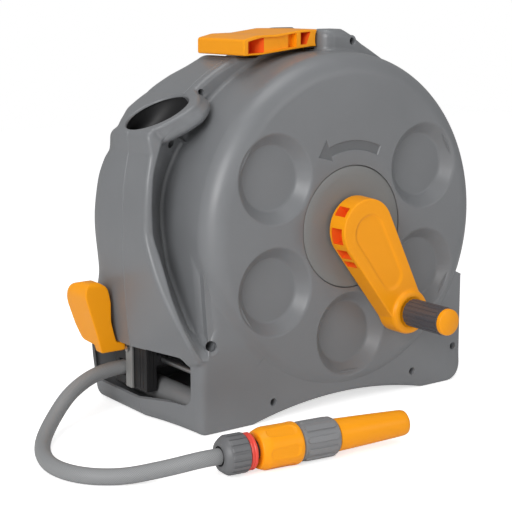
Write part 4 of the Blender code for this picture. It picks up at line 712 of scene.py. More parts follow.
def cover_face(angles):
    """The cover's face out to its rounded edge: triangles between the hub hole, the dimples, the
    arrow and rings of points where the face begins to curve."""
    points, edges = [], []

    def loop(outline):
        start = len(points)
        points.extend(outline)
        edges.extend((start + i, start + (i + 1) % len(outline)) for i in range(len(outline)))
        return range(start, len(points))

    def circle(radius, turns, middle=(0, 0)):
        return [(middle[0] + x, middle[1] + z) for x, z in (polar(radius, turn) for turn in turns)]

    edge_ring = loop(circle(COVER_EDGE, angles))
    hub_ring = loop(circle(HUB_HOLE + HUB_LIP, np.arange(0, 360, 2.5)))
    middles = [polar(DIMPLE_PITCH, turn) for turn in DIMPLE_ANGLES]
    rounds = np.arange(DIMPLE_ROUNDS) * 360 / DIMPLE_ROUNDS
    dimple_rings = [loop(circle(DIMPLE_BORDER, rounds, middle)) for middle in middles]
    loop(arrow_outline(0.0))
    arrow_floor = loop(arrow_outline(ARROW_DEPTH))
    for radius in np.arange(COVER_FLAT, COVER_EDGE - 0.0005, FACE_RING_STEP):
        for point in circle(radius, angles):
            if all(math.dist(point, middle) > DIMPLE_BORDER + 0.0008 for middle in middles):
                points.append(point)
    result = geometry.delaunay_2d_cdt([Vector(point) for point in points], edges, [], 0, 1e-7)
    spots = np.array([(spot.x, spot.y) for spot in result[0]])
    keep = np.ones(len(result[2]), bool)
    for middle, border in [((0, 0), HUB_HOLE + HUB_LIP)] + [(middle, DIMPLE_BORDER) for middle in middles]:
        outside = np.linalg.norm(spots - middle, axis=1) > border + 1e-5
        keep &= np.array([outside[list(face)].any() for face in result[2]])
    faces = [tuple(face) for face, kept in zip(result[2], keep) if kept]
    depth = cover_depth(np.linalg.norm(spots, axis=1))
    depth[list(arrow_floor)] += ARROW_DEPTH
    return spots, depth, faces, edge_ring, hub_ring, dimple_rings, middles


GROOVE_BACK_Y = 0.06
INNER_FILLET_STEPS = 6


def inner_profiles(angles, split):
    """Columns of (radius, depth) of the inner skin, from the split plane to the back of the cover."""
    has_groove = groove_wall(angles) > 0
    cover_in = COVER_RADIUS - WALL
    crest = np.minimum(eased(CREST_KEYS, angles), RIM_Y) + WALL
    inner = np.where(has_groove, groove_wall(angles) + WALL, cover_in + 0.0006)
    edge = eased(EDGE_KEYS, angles)
    outline = np.where(angles > GROOVE_START, reach(FRONT_OUTLINE, angles), split)
    outline = np.where(within(angles, EAR_ANGLES), reach(EAR_OUTLINE, angles), outline)
    flat = np.where(within(angles, EAR_REAR_ANGLES), cover_in + 0.001, split - WALL)
    beside_foot = (angles < RIGHT_FOOT_ANGLES[0]) | (angles > RIGHT_FOOT_ANGLES[1])
    flat = np.maximum(np.where(beside_foot, cover_in + 0.001, flat), cover_in + 0.0008)
    crest = np.where(flat < COVER_RADIUS, SPLIT_Y - 0.004, crest)
    shoulder = np.minimum(np.maximum(outline - WALL - edge, inner + 0.0002), flat)
    wall_in = np.where(has_groove, base_wall(angles) - WALL, inner - 0.0004)
    floor_back = np.minimum(eased(FLOOR_KEYS, angles) + WALL, SPLIT_Y - 0.001)
    floor_back = np.where(has_groove, floor_back, crest + 0.0001)
    front_back = np.where(has_groove, GROOVE_BACK_Y, crest + 0.0002)
    front_back = np.where(has_groove & (angles > 180), lean_depth(wall_in, angles) + WALL, front_back)
    edge_start = np.maximum(np.minimum(flat, outline - WALL), inner + 0.0004)
    columns = [
        (flat, SPLIT_Y - SPLIT_GAP), (edge_start, np.minimum(crest + edge, SPLIT_Y - 0.001)),
        (np.maximum(shoulder, inner + 0.0003), crest), (inner, crest), (inner - 0.0002, floor_back),
        (np.maximum(wall_in, cover_in + 0.0002), floor_back),
        (np.maximum(wall_in - 0.0002, cover_in + 0.0001), front_back),
        (cover_in, front_back), (cover_in, COVER_FILLET)]
    inner_fillet = COVER_FILLET - WALL
    for step in range(1, INNER_FILLET_STEPS + 1):
        turn = math.pi / 2 * (1 - step / INNER_FILLET_STEPS)
        across, along = inner_fillet * math.sin(turn), inner_fillet * math.cos(turn)
        columns.append((COVER_FLAT + across, COVER_FILLET - along))
    return columns


def fan(ring, tip):
    """Faces that join a ring of points to one point."""
    return [(ring[i], ring[(i + 1) % len(ring)], tip) for i in range(len(ring))]


def close_hub_hole(item, outer_ring, inner_ring):
    """Makes the small lip of the hub hole and joins it to the inner skin."""
    bm = bmesh.new()
    bm.from_mesh(item.data)
    bm.verts.ensure_lookup_table()
    inner = [bm.verts[i] for i in inner_ring]
    rings = [[bm.verts[i] for i in outer_ring]]
    for radius, y in ((HUB_HOLE + HUB_LIP * 0.3, HUB_LIP * 0.3), (HUB_HOLE, HUB_LIP)):
        ring = []
        for vert in rings[0]:
            away = Vector((vert.co.x - REEL.x, 0, vert.co.z - AXIS_Z)).normalized() * radius
            ring.append(bm.verts.new((REEL.x + away.x, REEL.y + y, AXIS_Z + away.z)))
        rings.append(ring)
    for face in band(rings[0], rings[1]) + band(rings[1], rings[2]):
        bm.faces.new(face)
    loops = []
    for ring in (rings[2], inner):
        loops += [bm.edges.get((ring[i], ring[(i + 1) % len(ring)])) for i in range(len(ring))]
    bmesh.ops.bridge_loops(bm, edges=loops)
    bmesh.ops.recalc_face_normals(bm, faces=bm.faces)
    bm.to_mesh(item.data)
    bm.free()
    return item


BACK_RINGS = 26


def front_shell():
    """Closed shell of the front half: its outer skin, its inner skin and the edges between them."""
    angles = turn_angles()
    spots, depth, faces, edge_ring, hub_ring, dimple_rings, middles = cover_face(angles)
    points = [(x, y, AXIS_Z + z) for (x, z), y in zip(spots, depth)]

    def add_ring(before, x, y, z):
        after = range(len(points), len(points) + len(before))
        points.extend(zip(x, y, z))
        faces.extend(band(before, after))
        return after

    def add_column(before, radius, depth):
        x, z = spread(np.broadcast_to(radius, angles.shape), angles)
        return add_ring(before, x, np.broadcast_to(depth, angles.shape), z)

    turns = np.arange(DIMPLE_ROUNDS) * 2 * math.pi / DIMPLE_ROUNDS
    for middle, before in zip(middles, dimple_rings):
        for radius in DIMPLE_RADII:
            x = middle[0] + radius * np.cos(turns)
            z = middle[1] + radius * np.sin(turns)
            before = add_ring(before, x, cover_depth(np.hypot(x, z)) + dimple_depth(radius), AXIS_Z + z)
        faces.extend(fan(before, len(points)))
        points.append((middle[0], DIMPLE_DEPTH + cover_depth(DIMPLE_PITCH), AXIS_Z + middle[1]))
    outer = front_profiles(angles)
    before = edge_ring
    for column in outer[1:]:
        before = add_column(before, column[:, 0], column[:, 1])
    for radius, depth in inner_profiles(angles, outer[-1][:, 0]):
        before = add_column(before, radius, depth)
    turn = np.radians(angles)
    for radius in np.linspace(COVER_FLAT, HUB_HOLE, BACK_RINGS)[1:]:
        x, z = radius * np.cos(turn), radius * np.sin(turn)
        cup = np.zeros(len(angles))
        for middle in middles:
            away = np.hypot(x - middle[0], z - middle[1])
            cup = np.maximum(cup, dimple_depth(np.maximum(away - WALL, 0)))
        before = add_ring(before, x, WALL + cup, AXIS_Z + z)
    return close_hub_hole(mesh_object("front_shell", points, faces), hub_ring, before)


def scaled(tree, colour, scale):
    """Colour made lighter or darker by a factor."""
    return add(tree, "ShaderNodeVectorMath", {0: colour, "Scale": scale}, operation="SCALE")


CLOUD_SCALE = 14.0
GLOSS_CHANGE = 0.05


def grained(name, colour, roughness, grain, depth, mottle=0.05):
    """Moulded plastic: fine spark grain in relief, faint cloudy changes of tone and of gloss."""
    material, tree, shader = new_material(name)
    place = add(tree, "ShaderNodeTexCoord").node.outputs["Object"]
    fine = add(tree, "ShaderNodeTexNoise", {"Vector": place, "Scale": 1 / grain, "Detail": 3.0})
    cloud = add(tree, "ShaderNodeTexNoise", {"Vector": place, "Scale": CLOUD_SCALE, "Detail": 4.0})
    speck = maths(tree, "ADD", maths(tree, "MULTIPLY", fine, 0.35), maths(tree, "MULTIPLY", cloud, 0.65))
    tone = ranged(tree, speck, 0.3, 0.7, 1 - mottle, 1 + mottle)
    feed(shader, {
        "Base Color": scaled(tree, colour, tone),
        "Roughness": ranged(tree, cloud, 0.35, 0.65, roughness - GLOSS_CHANGE, roughness + GLOSS_CHANGE),
        "Normal": raised(tree, fine, 0.5, depth)})
    return material


WELD = 1e-6


def on_axis(axis, a, b, along):
    """Point at a distance along an axis, and at distances a and b from it."""
    return {"X": (along, a, b), "Y": (a, along, b), "Z": (a, b, along)}[axis]


def turned(name, profile, centre, axis="Y", around=64):
    """Closed body of revolution from (radius, along) points, about an axis through centre."""
    points = []
    for radius, along in profile:
        for step in range(around):
            turn = 2 * math.pi * step / around
            place = on_axis(axis, radius * math.cos(turn), radius * math.sin(turn), along)
            points.append(Vector(place) + Vector(centre))
    hollow = profile[0][0] > 1e-6
    return mend(mesh_object(name, points, tube_faces(len(profile), around, closed=hollow)), WELD)


def rod(radius, low, high):
    """Profile of a plain round bar."""
    return [(0, low), (radius, low), (radius, high), (0, high)]


def prism(name, outline, low, high, axis="Y", high_outline=None):
    """Closed body between an outline at low and the same or another one at high."""
    count = len(outline)
    points = [on_axis(axis, point[0], point[1], low) for point in outline]
    points += [on_axis(axis, point[0], point[1], high) for point in high_outline or outline]
    ends = [tuple(range(count)), tuple(range(2 * count - 1, count - 1, -1))]
    return mend(mesh_object(name, points, ends + band(range(count), range(count, 2 * count))), WELD)


def freeze(item):
    """Gives an item the plain mesh that its modifiers make, and removes them."""
    mesh = bpy.data.meshes.new_from_object(item.evaluated_get(bpy.context.evaluated_depsgraph_get()))
    item.modifiers.clear()
    item.data = mesh
    return item


def boolean(item, other, operation="DIFFERENCE"):
    """Cuts the other body out of the item, joins it or keeps what both share, and removes it."""
    change = item.modifiers.new("change", "BOOLEAN")
    change.operation = operation
    change.solver = "MANIFOLD"
    change.object = other
    freeze(item)
    bpy.data.objects.remove(other)
    return item


CASE_GREY = (0.190, 0.196, 0.205)
case_grey = grained("case_grey", CASE_GREY, 0.36, 0.00055, 0.00006)
cover_grey = grained("cover_grey", CASE_GREY, 0.36, 0.00055, 0.00006)
ARROW_TONE = 0.70
ARROW_MARGIN = 0.002
ARROW_LOW_Z = 0.030
ARROW_SLANTS = (-0.68, 0.55)


def tone_arrow(material):
    """Darker tone on the floor of the turning arrow, told by its place on the cover."""
    tree = material.node_tree
    shader = tree.nodes["Principled BSDF"]
    tint = shader.inputs["Base Color"].links[0].from_socket
    place = add(tree, "ShaderNodeTexCoord").node.outputs["Object"]
    place_x, place_y, place_z = add(tree, "ShaderNodeSeparateXYZ", {0: place}).node.outputs
    x = maths(tree, "SUBTRACT", place_x, REEL.x)
    depth = maths(tree, "SUBTRACT", place_y, REEL.y)
    z = maths(tree, "SUBTRACT", place_z, AXIS_Z)
    squares = maths(tree, "ADD", maths(tree, "MULTIPLY", x, x), maths(tree, "MULTIPLY", z, z))
    radius = maths(tree, "SQRT", squares)
    slant = maths(tree, "DIVIDE", x, z)
    mask = maths(tree, "GREATER_THAN", depth, ARROW_DEPTH / 2)
    for test, value, limit in (
            ("GREATER_THAN", radius, ARROW_HEAD[0] - ARROW_MARGIN), ("GREATER_THAN", z, ARROW_LOW_Z),
            ("LESS_THAN", radius, ARROW_HEAD[1] + ARROW_MARGIN), ("GREATER_THAN", slant, ARROW_SLANTS[0]),
            ("LESS_THAN", slant, ARROW_SLANTS[1])):
        mask = maths(tree, "MULTIPLY", mask, maths(tree, test, value, limit))
    scale = maths(tree, "SUBTRACT", 1.0, maths(tree, "MULTIPLY", mask, 1 - ARROW_TONE))
    feed(shader, {"Base Color": scaled(tree, tint, scale)})
    return material


front_shell_item = front_shell()

# Screw bores: nine round holes, 8 mm wide, whose screws pull the halves together at the bottom of
# long tubes behind the skin. Each has a small rounded edge, and the one below the end of the groove
# has a wider mouth in a round dish. Each is (across, up, depth of its seat, depth of its mouth).
SCREW_BORE = 0.004
SCREW_TOWER = 0.0065
RIM_SCREW_RADIUS = 0.1963
RIM_SCREW_ANGLES = (-4, 36)
SCREWS = [(-0.182, 0.297, 0.099, GROOVE_Y - 0.004), (-0.140, 0.348, 0.109, RIM_Y),
          (-0.182, 0.0945, 0.109, 0.006), (-0.104, 0.021, 0.109, BASE_Y), (0.096, 0.022, 0.109, BASE_Y),
          (0.160, 0.042, 0.109, BASE_Y), (0.035, 0.400, 0.086, EAR_Y)]
for degrees in RIM_SCREW_ANGLES:
    x, z = polar(RIM_SCREW_RADIUS, degrees)
    SCREWS.append((x, AXIS_Z + z, 0.109, RIM_Y))
for x, z, seat, mouth in SCREWS:
    if mouth + WALL < SPLIT_Y - 0.006:
        tower = rod(SCREW_TOWER, mouth + 0.002, SPLIT_Y - 0.001)
        boolean(front_shell_item, turned("tower", tower, (x, 0, z), around=32), "UNION")
    front = mouth - (0.060 if mouth > RIM_Y else 0.003)
    bore = [(0, front), (SCREW_BORE + 0.0005, front), (SCREW_BORE + 0.0005, mouth - 0.00005),
            (SCREW_BORE, mouth + 0.0008), (SCREW_BORE, seat), (0, seat)]
    boolean(front_shell_item, turned("bore", bore, (x, 0, z), around=32))
SCOOP_BORE = [(0, -0.02), (0.0058, -0.02), (0.0055, 0.026), (0, 0.026)]
SCOOP_X = -0.1825
DISH_RADIUS = 0.0130
DISH_Y = -0.0078
DISH_Z = 0.0925
boolean(front_shell_item, turned("scoop_bore", SCOOP_BORE, (SCOOP_X, 0, 0.0945), around=48))
dish = [(DISH_RADIUS * math.sin(math.radians(turn)), DISH_Y - DISH_RADIUS * math.cos(math.radians(turn)))
        for turn in range(0, 181, 9)]
boolean(front_shell_item, turned("dish", dish, (SCOOP_X, 0, DISH_Z), around=64))

# Nozzle hole: a round hole in the tilted rim at the upper left, half in each moulding, with a
# rounded inner edge. The dark park tube starts just below it.
SOCKET_LIP = 0.0030
socket_place = (Matrix.Translation(REEL + Vector((SOCKET_X, SPLIT_Y, SOCKET_Z)))
                @ Matrix.Rotation(-SOCKET_TILT, 4, "Y") @ Matrix.Translation(-REEL))


def rounded_mouth(radius, level, edge):
    """Profile of a hole's rounded mouth in a face at the level."""
    turns = [math.radians(angle) for angle in range(0, 76, 15)]
    return [(radius + edge * (1 - math.cos(turn)), level - edge * (1 - math.sin(turn))) for turn in turns]


def socket_hole():
    """Cutter for the nozzle hole."""
    profile = [(0, -0.014), (SOCKET_BORE, -0.014), *rounded_mouth(SOCKET_BORE, 0.0, SOCKET_LIP),
               (SOCKET_BORE + 0.004, 0.006), (0, 0.006)]
    hole = turned("socket_hole", profile, (0, 0, 0), "Z", 96)
    hole.data.transform(socket_place)
    return hole


# Side opening: low on the left, through both mouldings, with a thick sloping sill at the bottom and
# at both ends where the wall is bevelled outwards.
OPENING_Y = (0.018, 0.190)
OPENING_Z = (0.029, 0.082)
OPENING_CORNER = 0.012
OPENING_LIP_X = -0.1985
OPENING_INNER_X = -0.180
OPENING_STEP_Z = 0.0715
OPENING_OUTSIDE_X = SIDE_LEFT_X - 0.03
SILL = 0.005
SILL_X = (SIDE_LEFT_X + 0.012, SIDE_LEFT_X + 0.027)


def cut_opening(item):
    """Cuts the side opening: its mouth, the lower passage behind it and the bevel round it."""
    y0, y1 = OPENING_Y
    z0, z1 = OPENING_Z
    corner = OPENING_CORNER
    mouth = rounded([(y0, z0, corner), (y1, z0, corner), (y1, z1, corner), (y0, z1, corner)])
    boolean(item, prism("mouth", mouth, OPENING_OUTSIDE_X, OPENING_LIP_X, "X"))
    step = OPENING_STEP_Z
    passage = rounded([(y0, z0, corner), (y1, z0, corner), (y1, step, 0.001), (y0, step, 0.001)])
    boolean(item, prism("passage", passage, OPENING_OUTSIDE_X, OPENING_INNER_X, "X"))
    front, rear, bottom, top = y0 - SILL, y1 + SILL * 0.5, z0 - SILL * 1.6, z1 + 0.0005
    wide = rounded([(front, bottom, corner), (rear, bottom, corner), (rear, top, corner),
                    (front, top, corner)])
    boolean(item, prism("sill", wide, *SILL_X, "X", mouth))


# Handle slot: the handle's knuckle turns in it on its pin, between two cheeks of the ear. It is open
# to the left and at the top, and runs through both mouldings.
HANDLE_PIVOT = (0.014, 0.4025)
KNUCKLE_RADIUS = 0.0100
KNUCKLE_Y = (0.066, 0.139)
KNUCKLE_CLEARANCE = 0.0012


def knuckle_slot():
    """Cutter for the slot that the handle's knuckle turns in."""
    x, z = HANDLE_PIVOT
    low = z - KNUCKLE_RADIUS - KNUCKLE_CLEARANCE
    right = x + KNUCKLE_RADIUS + 0.003
    outline = rounded([(EAR_LEFT_X - 0.006, low, 0), (right, low, 0.004), (right, EAR_TOP_Z + 0.01, 0),
                       (EAR_LEFT_X - 0.006, EAR_TOP_Z + 0.01, 0)], 5)
    return prism("slot", outline, KNUCKLE_Y[0] - KNUCKLE_CLEARANCE, KNUCKLE_Y[1] + KNUCKLE_CLEARANCE)


boolean(front_shell_item, socket_hole())
cut_opening(front_shell_item)
boolean(front_shell_item, knuckle_slot())
mend(front_shell_item, 2 * WELD)
dress(front_shell_item, tone_arrow(cover_grey), "housing", "front_case", slot="case_grey")

# Rear half of the housing: a deep shell in the same grey plastic, strongly rounded towards the
# back, with a round recess for the water inlet in its flat rear wall.
REAR_Y = 0.200
INLET_RECESS_RADIUS = 0.034
INLET_RECESS_Y = 0.176
INLET_HOLE_RADIUS = 0.0118
REAR_SKIN_ANGLES = (52, 91.6)
REAR_SPLIT_CHAMFER = 0.0005
REAR_EDGE_STEPS = 14


def rear_skin(angles, inset):
    """Rings of (radius, depth) from the split plane to the rear wall, at an inset from the outside."""
    outer = reach(SPLIT_OUTLINE, angles) - inset
    if inset:
        outer = np.where(within(angles, REAR_SKIN_ANGLES), np.minimum(outer, COVER_RADIUS - WALL), outer)
    edge = np.maximum(eased(REAR_EDGE_KEYS, angles) - inset, 0.002)
    end = REAR_Y - inset
    front = SPLIT_Y + SPLIT_GAP
    rings = [(outer - REAR_SPLIT_CHAMFER * (inset == 0), front), (outer, front + REAR_SPLIT_CHAMFER)]
    rings += [(outer, SPLIT_Y + (end - edge - SPLIT_Y) * share) for share in (0.33, 0.66)]
    for step in range(REAR_EDGE_STEPS + 1):
        sweep = math.pi / 2 * step / REAR_EDGE_STEPS
        rings.append((outer - edge + edge * math.cos(sweep), end - edge + edge * math.sin(sweep)))
    last = rings[-1][0]
    return rings + [(last * share, end) for share in (0.75, 0.5, 0.27)]


def rear_shell():
    """Closed shell of the rear half, whose outer and inner skins meet at the split plane."""
    angles = turn_angles()
    points, faces = [], []
    first = None
    for inset in (0.0, WALL):
        before = first
        for radius, depth in rear_skin(angles, inset):
            x, z = spread(radius, angles)
            after = range(len(points), len(points) + len(angles))
            points.extend(zip(x, np.broadcast_to(depth, radius.shape), z))
            if before:
                faces.extend(band(before, after))
            before = after
            first = first or after
        faces.extend(fan(before, len(points)))
        points.append((0, REAR_Y - inset, AXIS_Z))
    return mend(mesh_object("rear_shell", points, faces), WELD)


rear_shell_item = rear_shell()
AXIS_POINT = (0, 0, AXIS_Z)
recess_wall = rod(INLET_RECESS_RADIUS + WALL, INLET_RECESS_Y - WALL, REAR_Y - WALL / 2)
boolean(rear_shell_item, turned("recess_wall", recess_wall, AXIS_POINT, around=96), "UNION")
recess = [(0, INLET_RECESS_Y), (INLET_RECESS_RADIUS - 0.002, INLET_RECESS_Y),
          (INLET_RECESS_RADIUS, INLET_RECESS_Y + 0.002), *rounded_mouth(INLET_RECESS_RADIUS, REAR_Y, 0.003),
          (INLET_RECESS_RADIUS + 0.006, REAR_Y + 0.01), (0, REAR_Y + 0.01)]
boolean(rear_shell_item, turned("recess", recess, AXIS_POINT, around=96))
boolean(rear_shell_item, turned("inlet_hole", rod(INLET_HOLE_RADIUS, 0.16, REAR_Y), AXIS_POINT))
boolean(rear_shell_item, socket_hole())
cut_opening(rear_shell_item)
boolean(rear_shell_item, knuckle_slot())
mend(rear_shell_item, 2 * WELD)
dress(rear_shell_item, case_grey, "housing", "rear_case", slot="case_grey")

# Hub disc: a flat moulded disc let into the middle of the drum cover, with a small bevel at its rim
# and a shadow gap round it. It is screwed to the drum's core and turns with the crank.
HUB_Y = 0.0031
HUB_PROFILE = [(0, 0.0001), (0.0300, 0.0001), (0.0560, 0.0001), (0.0656, 0.0002), (0.0664, 0.0006),
               (HUB_RADIUS, 0.0014), (HUB_RADIUS, HUB_Y), (0, HUB_Y)]
hub_grey = grained("hub_grey", (0.196, 0.197, 0.193), 0.46, 0.00055, 0.00004)
dress(turned("hub_disc_skin", HUB_PROFILE, (0, 0, AXIS_Z), around=160), hub_grey, "drum", "hub_disc",
      slot="case_grey")

# Crank arm: one thick yellow moulding that narrows from the hub to the tip, with soft edges, a long
# shallow dish in its face, four core pockets in its left side and a round boss under the knob.
CRANK_ANGLE = math.radians(-58)
CRANK_ALONG = Vector((math.cos(CRANK_ANGLE), math.sin(CRANK_ANGLE)))
CRANK_THROW = 0.116
CRANK_HUB = 0.035
CRANK_TIP = 0.023
CRANK_FRONT = -0.028
CRANK_BACK = -0.0035
CRANK_MIDDLE = Vector((0, AXIS_Z))
CRANK_END = CRANK_MIDDLE + CRANK_ALONG * CRANK_THROW
YELLOW = (0.980, 0.362, 0.004)
# The pocket colour is painted shade: a redder orange that stands for the dimmer light bounced about deep in
# the yellow pockets.
PAINTED_POCKET_SHADE = (0.930, 0.130, 0.012)
YELLOW_SHINE = 0.28
yellow = grained("bright_yellow", YELLOW, 0.40, 0.0007, 0.00002, 0.02)
# Material of painted shade for the faces deep in the pockets.
painted_pocket_shade = grained("painted_pocket_shade", PAINTED_POCKET_SHADE, 0.5, 0.0007, 0.00002, 0.02)
for plastic in (yellow, painted_pocket_shade):
    feed(plastic.node_tree.nodes["Principled BSDF"], {"Specular IOR Level": YELLOW_SHINE})


def capsule(middle, radius, end, end_radius, inset=0.0, steps=36):
    """Outline of two circles joined by their common tangents."""
    along = end - middle
    lean = math.asin((radius - end_radius) / along.length)
    heading = math.atan2(along.y, along.x)
    points = []
    for centre, size, first, last in ((middle, radius - inset, math.pi / 2 - lean, 1.5 * math.pi + lean),
                                      (end, end_radius - inset, -math.pi / 2 + lean, math.pi / 2 - lean)):
        for step in range(steps + 1):
            turn = heading + first + (last - first) * step / steps
            points.append(centre + size * Vector((math.cos(turn), math.sin(turn))))
    return points


def melted(item, voxel, rounds):
    """Remeshes a body finely and relaxes it, which rounds its edges and fills its corners."""
    cells = item.modifiers.new("cells", "REMESH")
    cells.mode = "VOXEL"
    cells.voxel_size = voxel
    relax = item.modifiers.new("relax", "SMOOTH")
    relax.factor = 0.5
    relax.iterations = rounds
    return freeze(item)


def shade_pockets(item, deep, first, second):
    """Paints shade into pockets: each face that reaches deep into one gets the second material, a redder
    painted shade.
    """
    item.data.materials.clear()
    item.data.materials.append(first)
    item.data.materials.append(second)
    below = [deep(vert.co - REEL) for vert in item.data.vertices]
    for face in item.data.polygons:
        face.material_index = int(any(below[number] for number in face.vertices))


CRANK_BOSS = [(0, -0.0324), (0.0205, -0.0324), (0.0236, -0.0312), (0.0248, -0.0288), (0.0254, -0.0265),
              (0.0254, -0.0045), (0, -0.0045)]
CRANK_CUP = [(0, -0.04), (0.0178, -0.04), (0.0166, -0.0306), (0, -0.0306)]
POCKET_FRONT = -0.0235
POCKET_BACK = -0.0072
POCKET_STATIONS = ((0.021, 0.0018), (CRANK_HUB, 0.0), (CRANK_HUB + 0.01, -0.0006))
# Bounds of the painted pocket shade on the arm: its depths, its reach along the arm and how far inside the
# outline a face must lie.
POCKET_SHADE_Y = (-0.0236, -0.0070)
POCKET_SHADE_END = 0.06
POCKET_SHADE_SKIN = 0.0030


def arm_pocket(turn, centre, half):
    """Cutter for a core pocket, which narrows a little towards its floor."""
    away = Vector((math.cos(turn), math.sin(turn)))
    across = Vector((-away.y, away.x))
    rings = []
    for distance, inset in POCKET_STATIONS:
        front, back = POCKET_FRONT + inset, POCKET_BACK - inset
        for sign, y in ((-1, front), (1, front), (1, back), (-1, back)):
            spot = centre + away * distance + across * sign * (half - inset)
            rings.append((spot.x, y, spot.y))
    faces = [(0, 1, 2, 3), (11, 10, 9, 8)]
    for level in (0, 4):
        faces += [(level + i, level + 4 + i, level + 4 + (i + 1) % 4, level + (i + 1) % 4) for i in range(4)]
    return mend(mesh_object("pocket", rings, faces), WELD)


def crank_arm():
    """The arm, whose boss, dish and cup are softened together, with its foot and its four pockets."""
    face = capsule(CRANK_MIDDLE, CRANK_HUB, CRANK_END, CRANK_TIP, 0.0010)
    back = capsule(CRANK_MIDDLE, CRANK_HUB, CRANK_END, CRANK_TIP, -0.0002)
    arm = prism("crank_arm_skin", face, CRANK_FRONT, CRANK_BACK, high_outline=back)
    end = (CRANK_END.x, 0, CRANK_END.y)
    boolean(arm, turned("boss", CRANK_BOSS, end), "UNION")
    start = CRANK_MIDDLE + CRANK_ALONG * 0.004
    dish = capsule(start, 0.0215, CRANK_MIDDLE + CRANK_ALONG * 0.066, 0.0165)
    floor = capsule(start, 0.0185, CRANK_MIDDLE + CRANK_ALONG * 0.064, 0.0130)
    boolean(arm, prism("dish", dish, CRANK_FRONT - 0.0006, CRANK_FRONT + 0.0016, high_outline=floor))
    boolean(arm, turned("cup", CRANK_CUP, end))
    melted(arm, 0.0007, 14)
    boolean(arm, turned("foot", rod(0.024, -0.006, -0.0004), AXIS_POINT), "UNION")
    lean = math.asin((CRANK_HUB - CRANK_TIP) / CRANK_THROW)
    side = CRANK_ANGLE - math.pi / 2 + lean
    straight_side = Vector((math.cos(side + math.pi / 2), math.sin(side + math.pi / 2)))
    for turn, shift, half in ((math.radians(142), 0.0, 0.0060), (math.radians(189), 0.0, 0.0092),
                              (side, 0.0062, 0.0066), (side, 0.0212, 0.0044)):
        boolean(arm, arm_pocket(turn, CRANK_MIDDLE + straight_side * shift, half))

    # Whether a point lies deep in a pocket, where the painted shade goes.
    def deep(point):
        flat = Vector((point.x, point.z)) - CRANK_MIDDLE
        along = min(max(flat.dot(CRANK_ALONG), 0), CRANK_THROW)
        skin = CRANK_HUB - (CRANK_HUB - CRANK_TIP) * along / CRANK_THROW
        inside = (flat - CRANK_ALONG * along).length < skin - POCKET_SHADE_SKIN
        return POCKET_SHADE_Y[0] < point.y < POCKET_SHADE_Y[1] and along < POCKET_SHADE_END and inside

    # Faces deep in the pockets take the painted shade.
    shade_pockets(arm, deep, yellow, painted_pocket_shade)
    return arm


dress(crank_arm(), None, "drum", "crank_arm", slot="bright_yellow", angle=30)

# Knob: a dark grey sleeve with low ribs along it, loose on a steel pin in the arm's boss, held by a
# yellow cap pressed on the pin.
KNOB_RADIUS = 0.0155
KNOB_RIBS = 18
KNOB_CORE = [(0, -0.0325), (0.0142, -0.0325), (0.0148, -0.0331), (0.0148, -0.0845), (0.0142, -0.0851),
             (0, -0.0851)]
KNOB_CAP = [(0, -0.0857), (0.0140, -0.0857), (0.0145, -0.0862), (0.0145, -0.0900), (0.0142, -0.0909),
            (0.0134, -0.0915), (0, -0.0916)]
dark_grey = grained("dark_grey", (0.078, 0.076, 0.086), 0.42, 0.0006, 0.00003)


def ring_of(core, piece, count, centre, axis, material):
    """Adds evenly turned copies of a piece round an axis to the core, by Geometry Nodes. The piece is
    drawn about the axis through the origin of the reel's frame."""
    tree = bpy.data.node_groups.new("ring_of_" + piece.name, "GeometryNodeTree")
    sockets = {}
    for name, kind in (("Core", "Geometry"), ("Piece", "Object"), ("Count", "Int"), ("Centre", "Vector"),
                       ("Turn", "Vector"), ("Material", "Material")):
        sockets[name] = tree.interface.new_socket(name, in_out="INPUT", socket_type="NodeSocket" + kind)
    tree.interface.new_socket("Geometry", in_out="OUTPUT", socket_type="NodeSocketGeometry")
    given = tree.nodes.new("NodeGroupInput")
    spots = tree.nodes.new("GeometryNodePoints")
    info = tree.nodes.new("GeometryNodeObjectInfo")
    copies = tree.nodes.new("GeometryNodeInstanceOnPoints")
    number = tree.nodes.new("GeometryNodeInputIndex")
    turn = tree.nodes.new("ShaderNodeVectorMath")
    turn.operation = "SCALE"
    rotation = tree.nodes.new("FunctionNodeEulerToRotation")
    real = tree.nodes.new("GeometryNodeRealizeInstances")
    whole = tree.nodes.new("GeometryNodeJoinGeometry")
    paint = tree.nodes.new("GeometryNodeSetMaterial")
    result = tree.nodes.new("NodeGroupOutput")
    for source, target in (
            (given.outputs["Count"], spots.inputs["Count"]),
            (given.outputs["Centre"], spots.inputs["Position"]),
            (given.outputs["Piece"], info.inputs["Object"]),
            (number.outputs[0], turn.inputs["Scale"]), (given.outputs["Turn"], turn.inputs[0]),
            (turn.outputs[0], rotation.inputs[0]), (spots.outputs[0], copies.inputs["Points"]),
            (info.outputs["Geometry"], copies.inputs["Instance"]),
            (rotation.outputs[0], copies.inputs["Rotation"]), (copies.outputs[0], whole.inputs[0]),
            (given.outputs["Core"], whole.inputs[0]), (whole.outputs[0], real.inputs[0]),
            (real.outputs[0], paint.inputs["Geometry"]),
            (given.outputs["Material"], paint.inputs["Material"]), (paint.outputs[0], result.inputs[0])):
        tree.links.new(source, target)
    piece.data.transform(Matrix.Translation(-REEL))
    modifier = core.modifiers.new("ring", "NODES")
    modifier.node_group = tree
    turns = [2 * math.pi / count if letter == axis else 0.0 for letter in "XYZ"]
    for name, value in (("Piece", piece), ("Count", count), ("Centre", tuple(Vector(centre) + REEL)),
                        ("Turn", turns), ("Material", material)):
        modifier[sockets[name].identifier] = value
    freeze(core)
    bpy.data.objects.remove(piece)
    return core


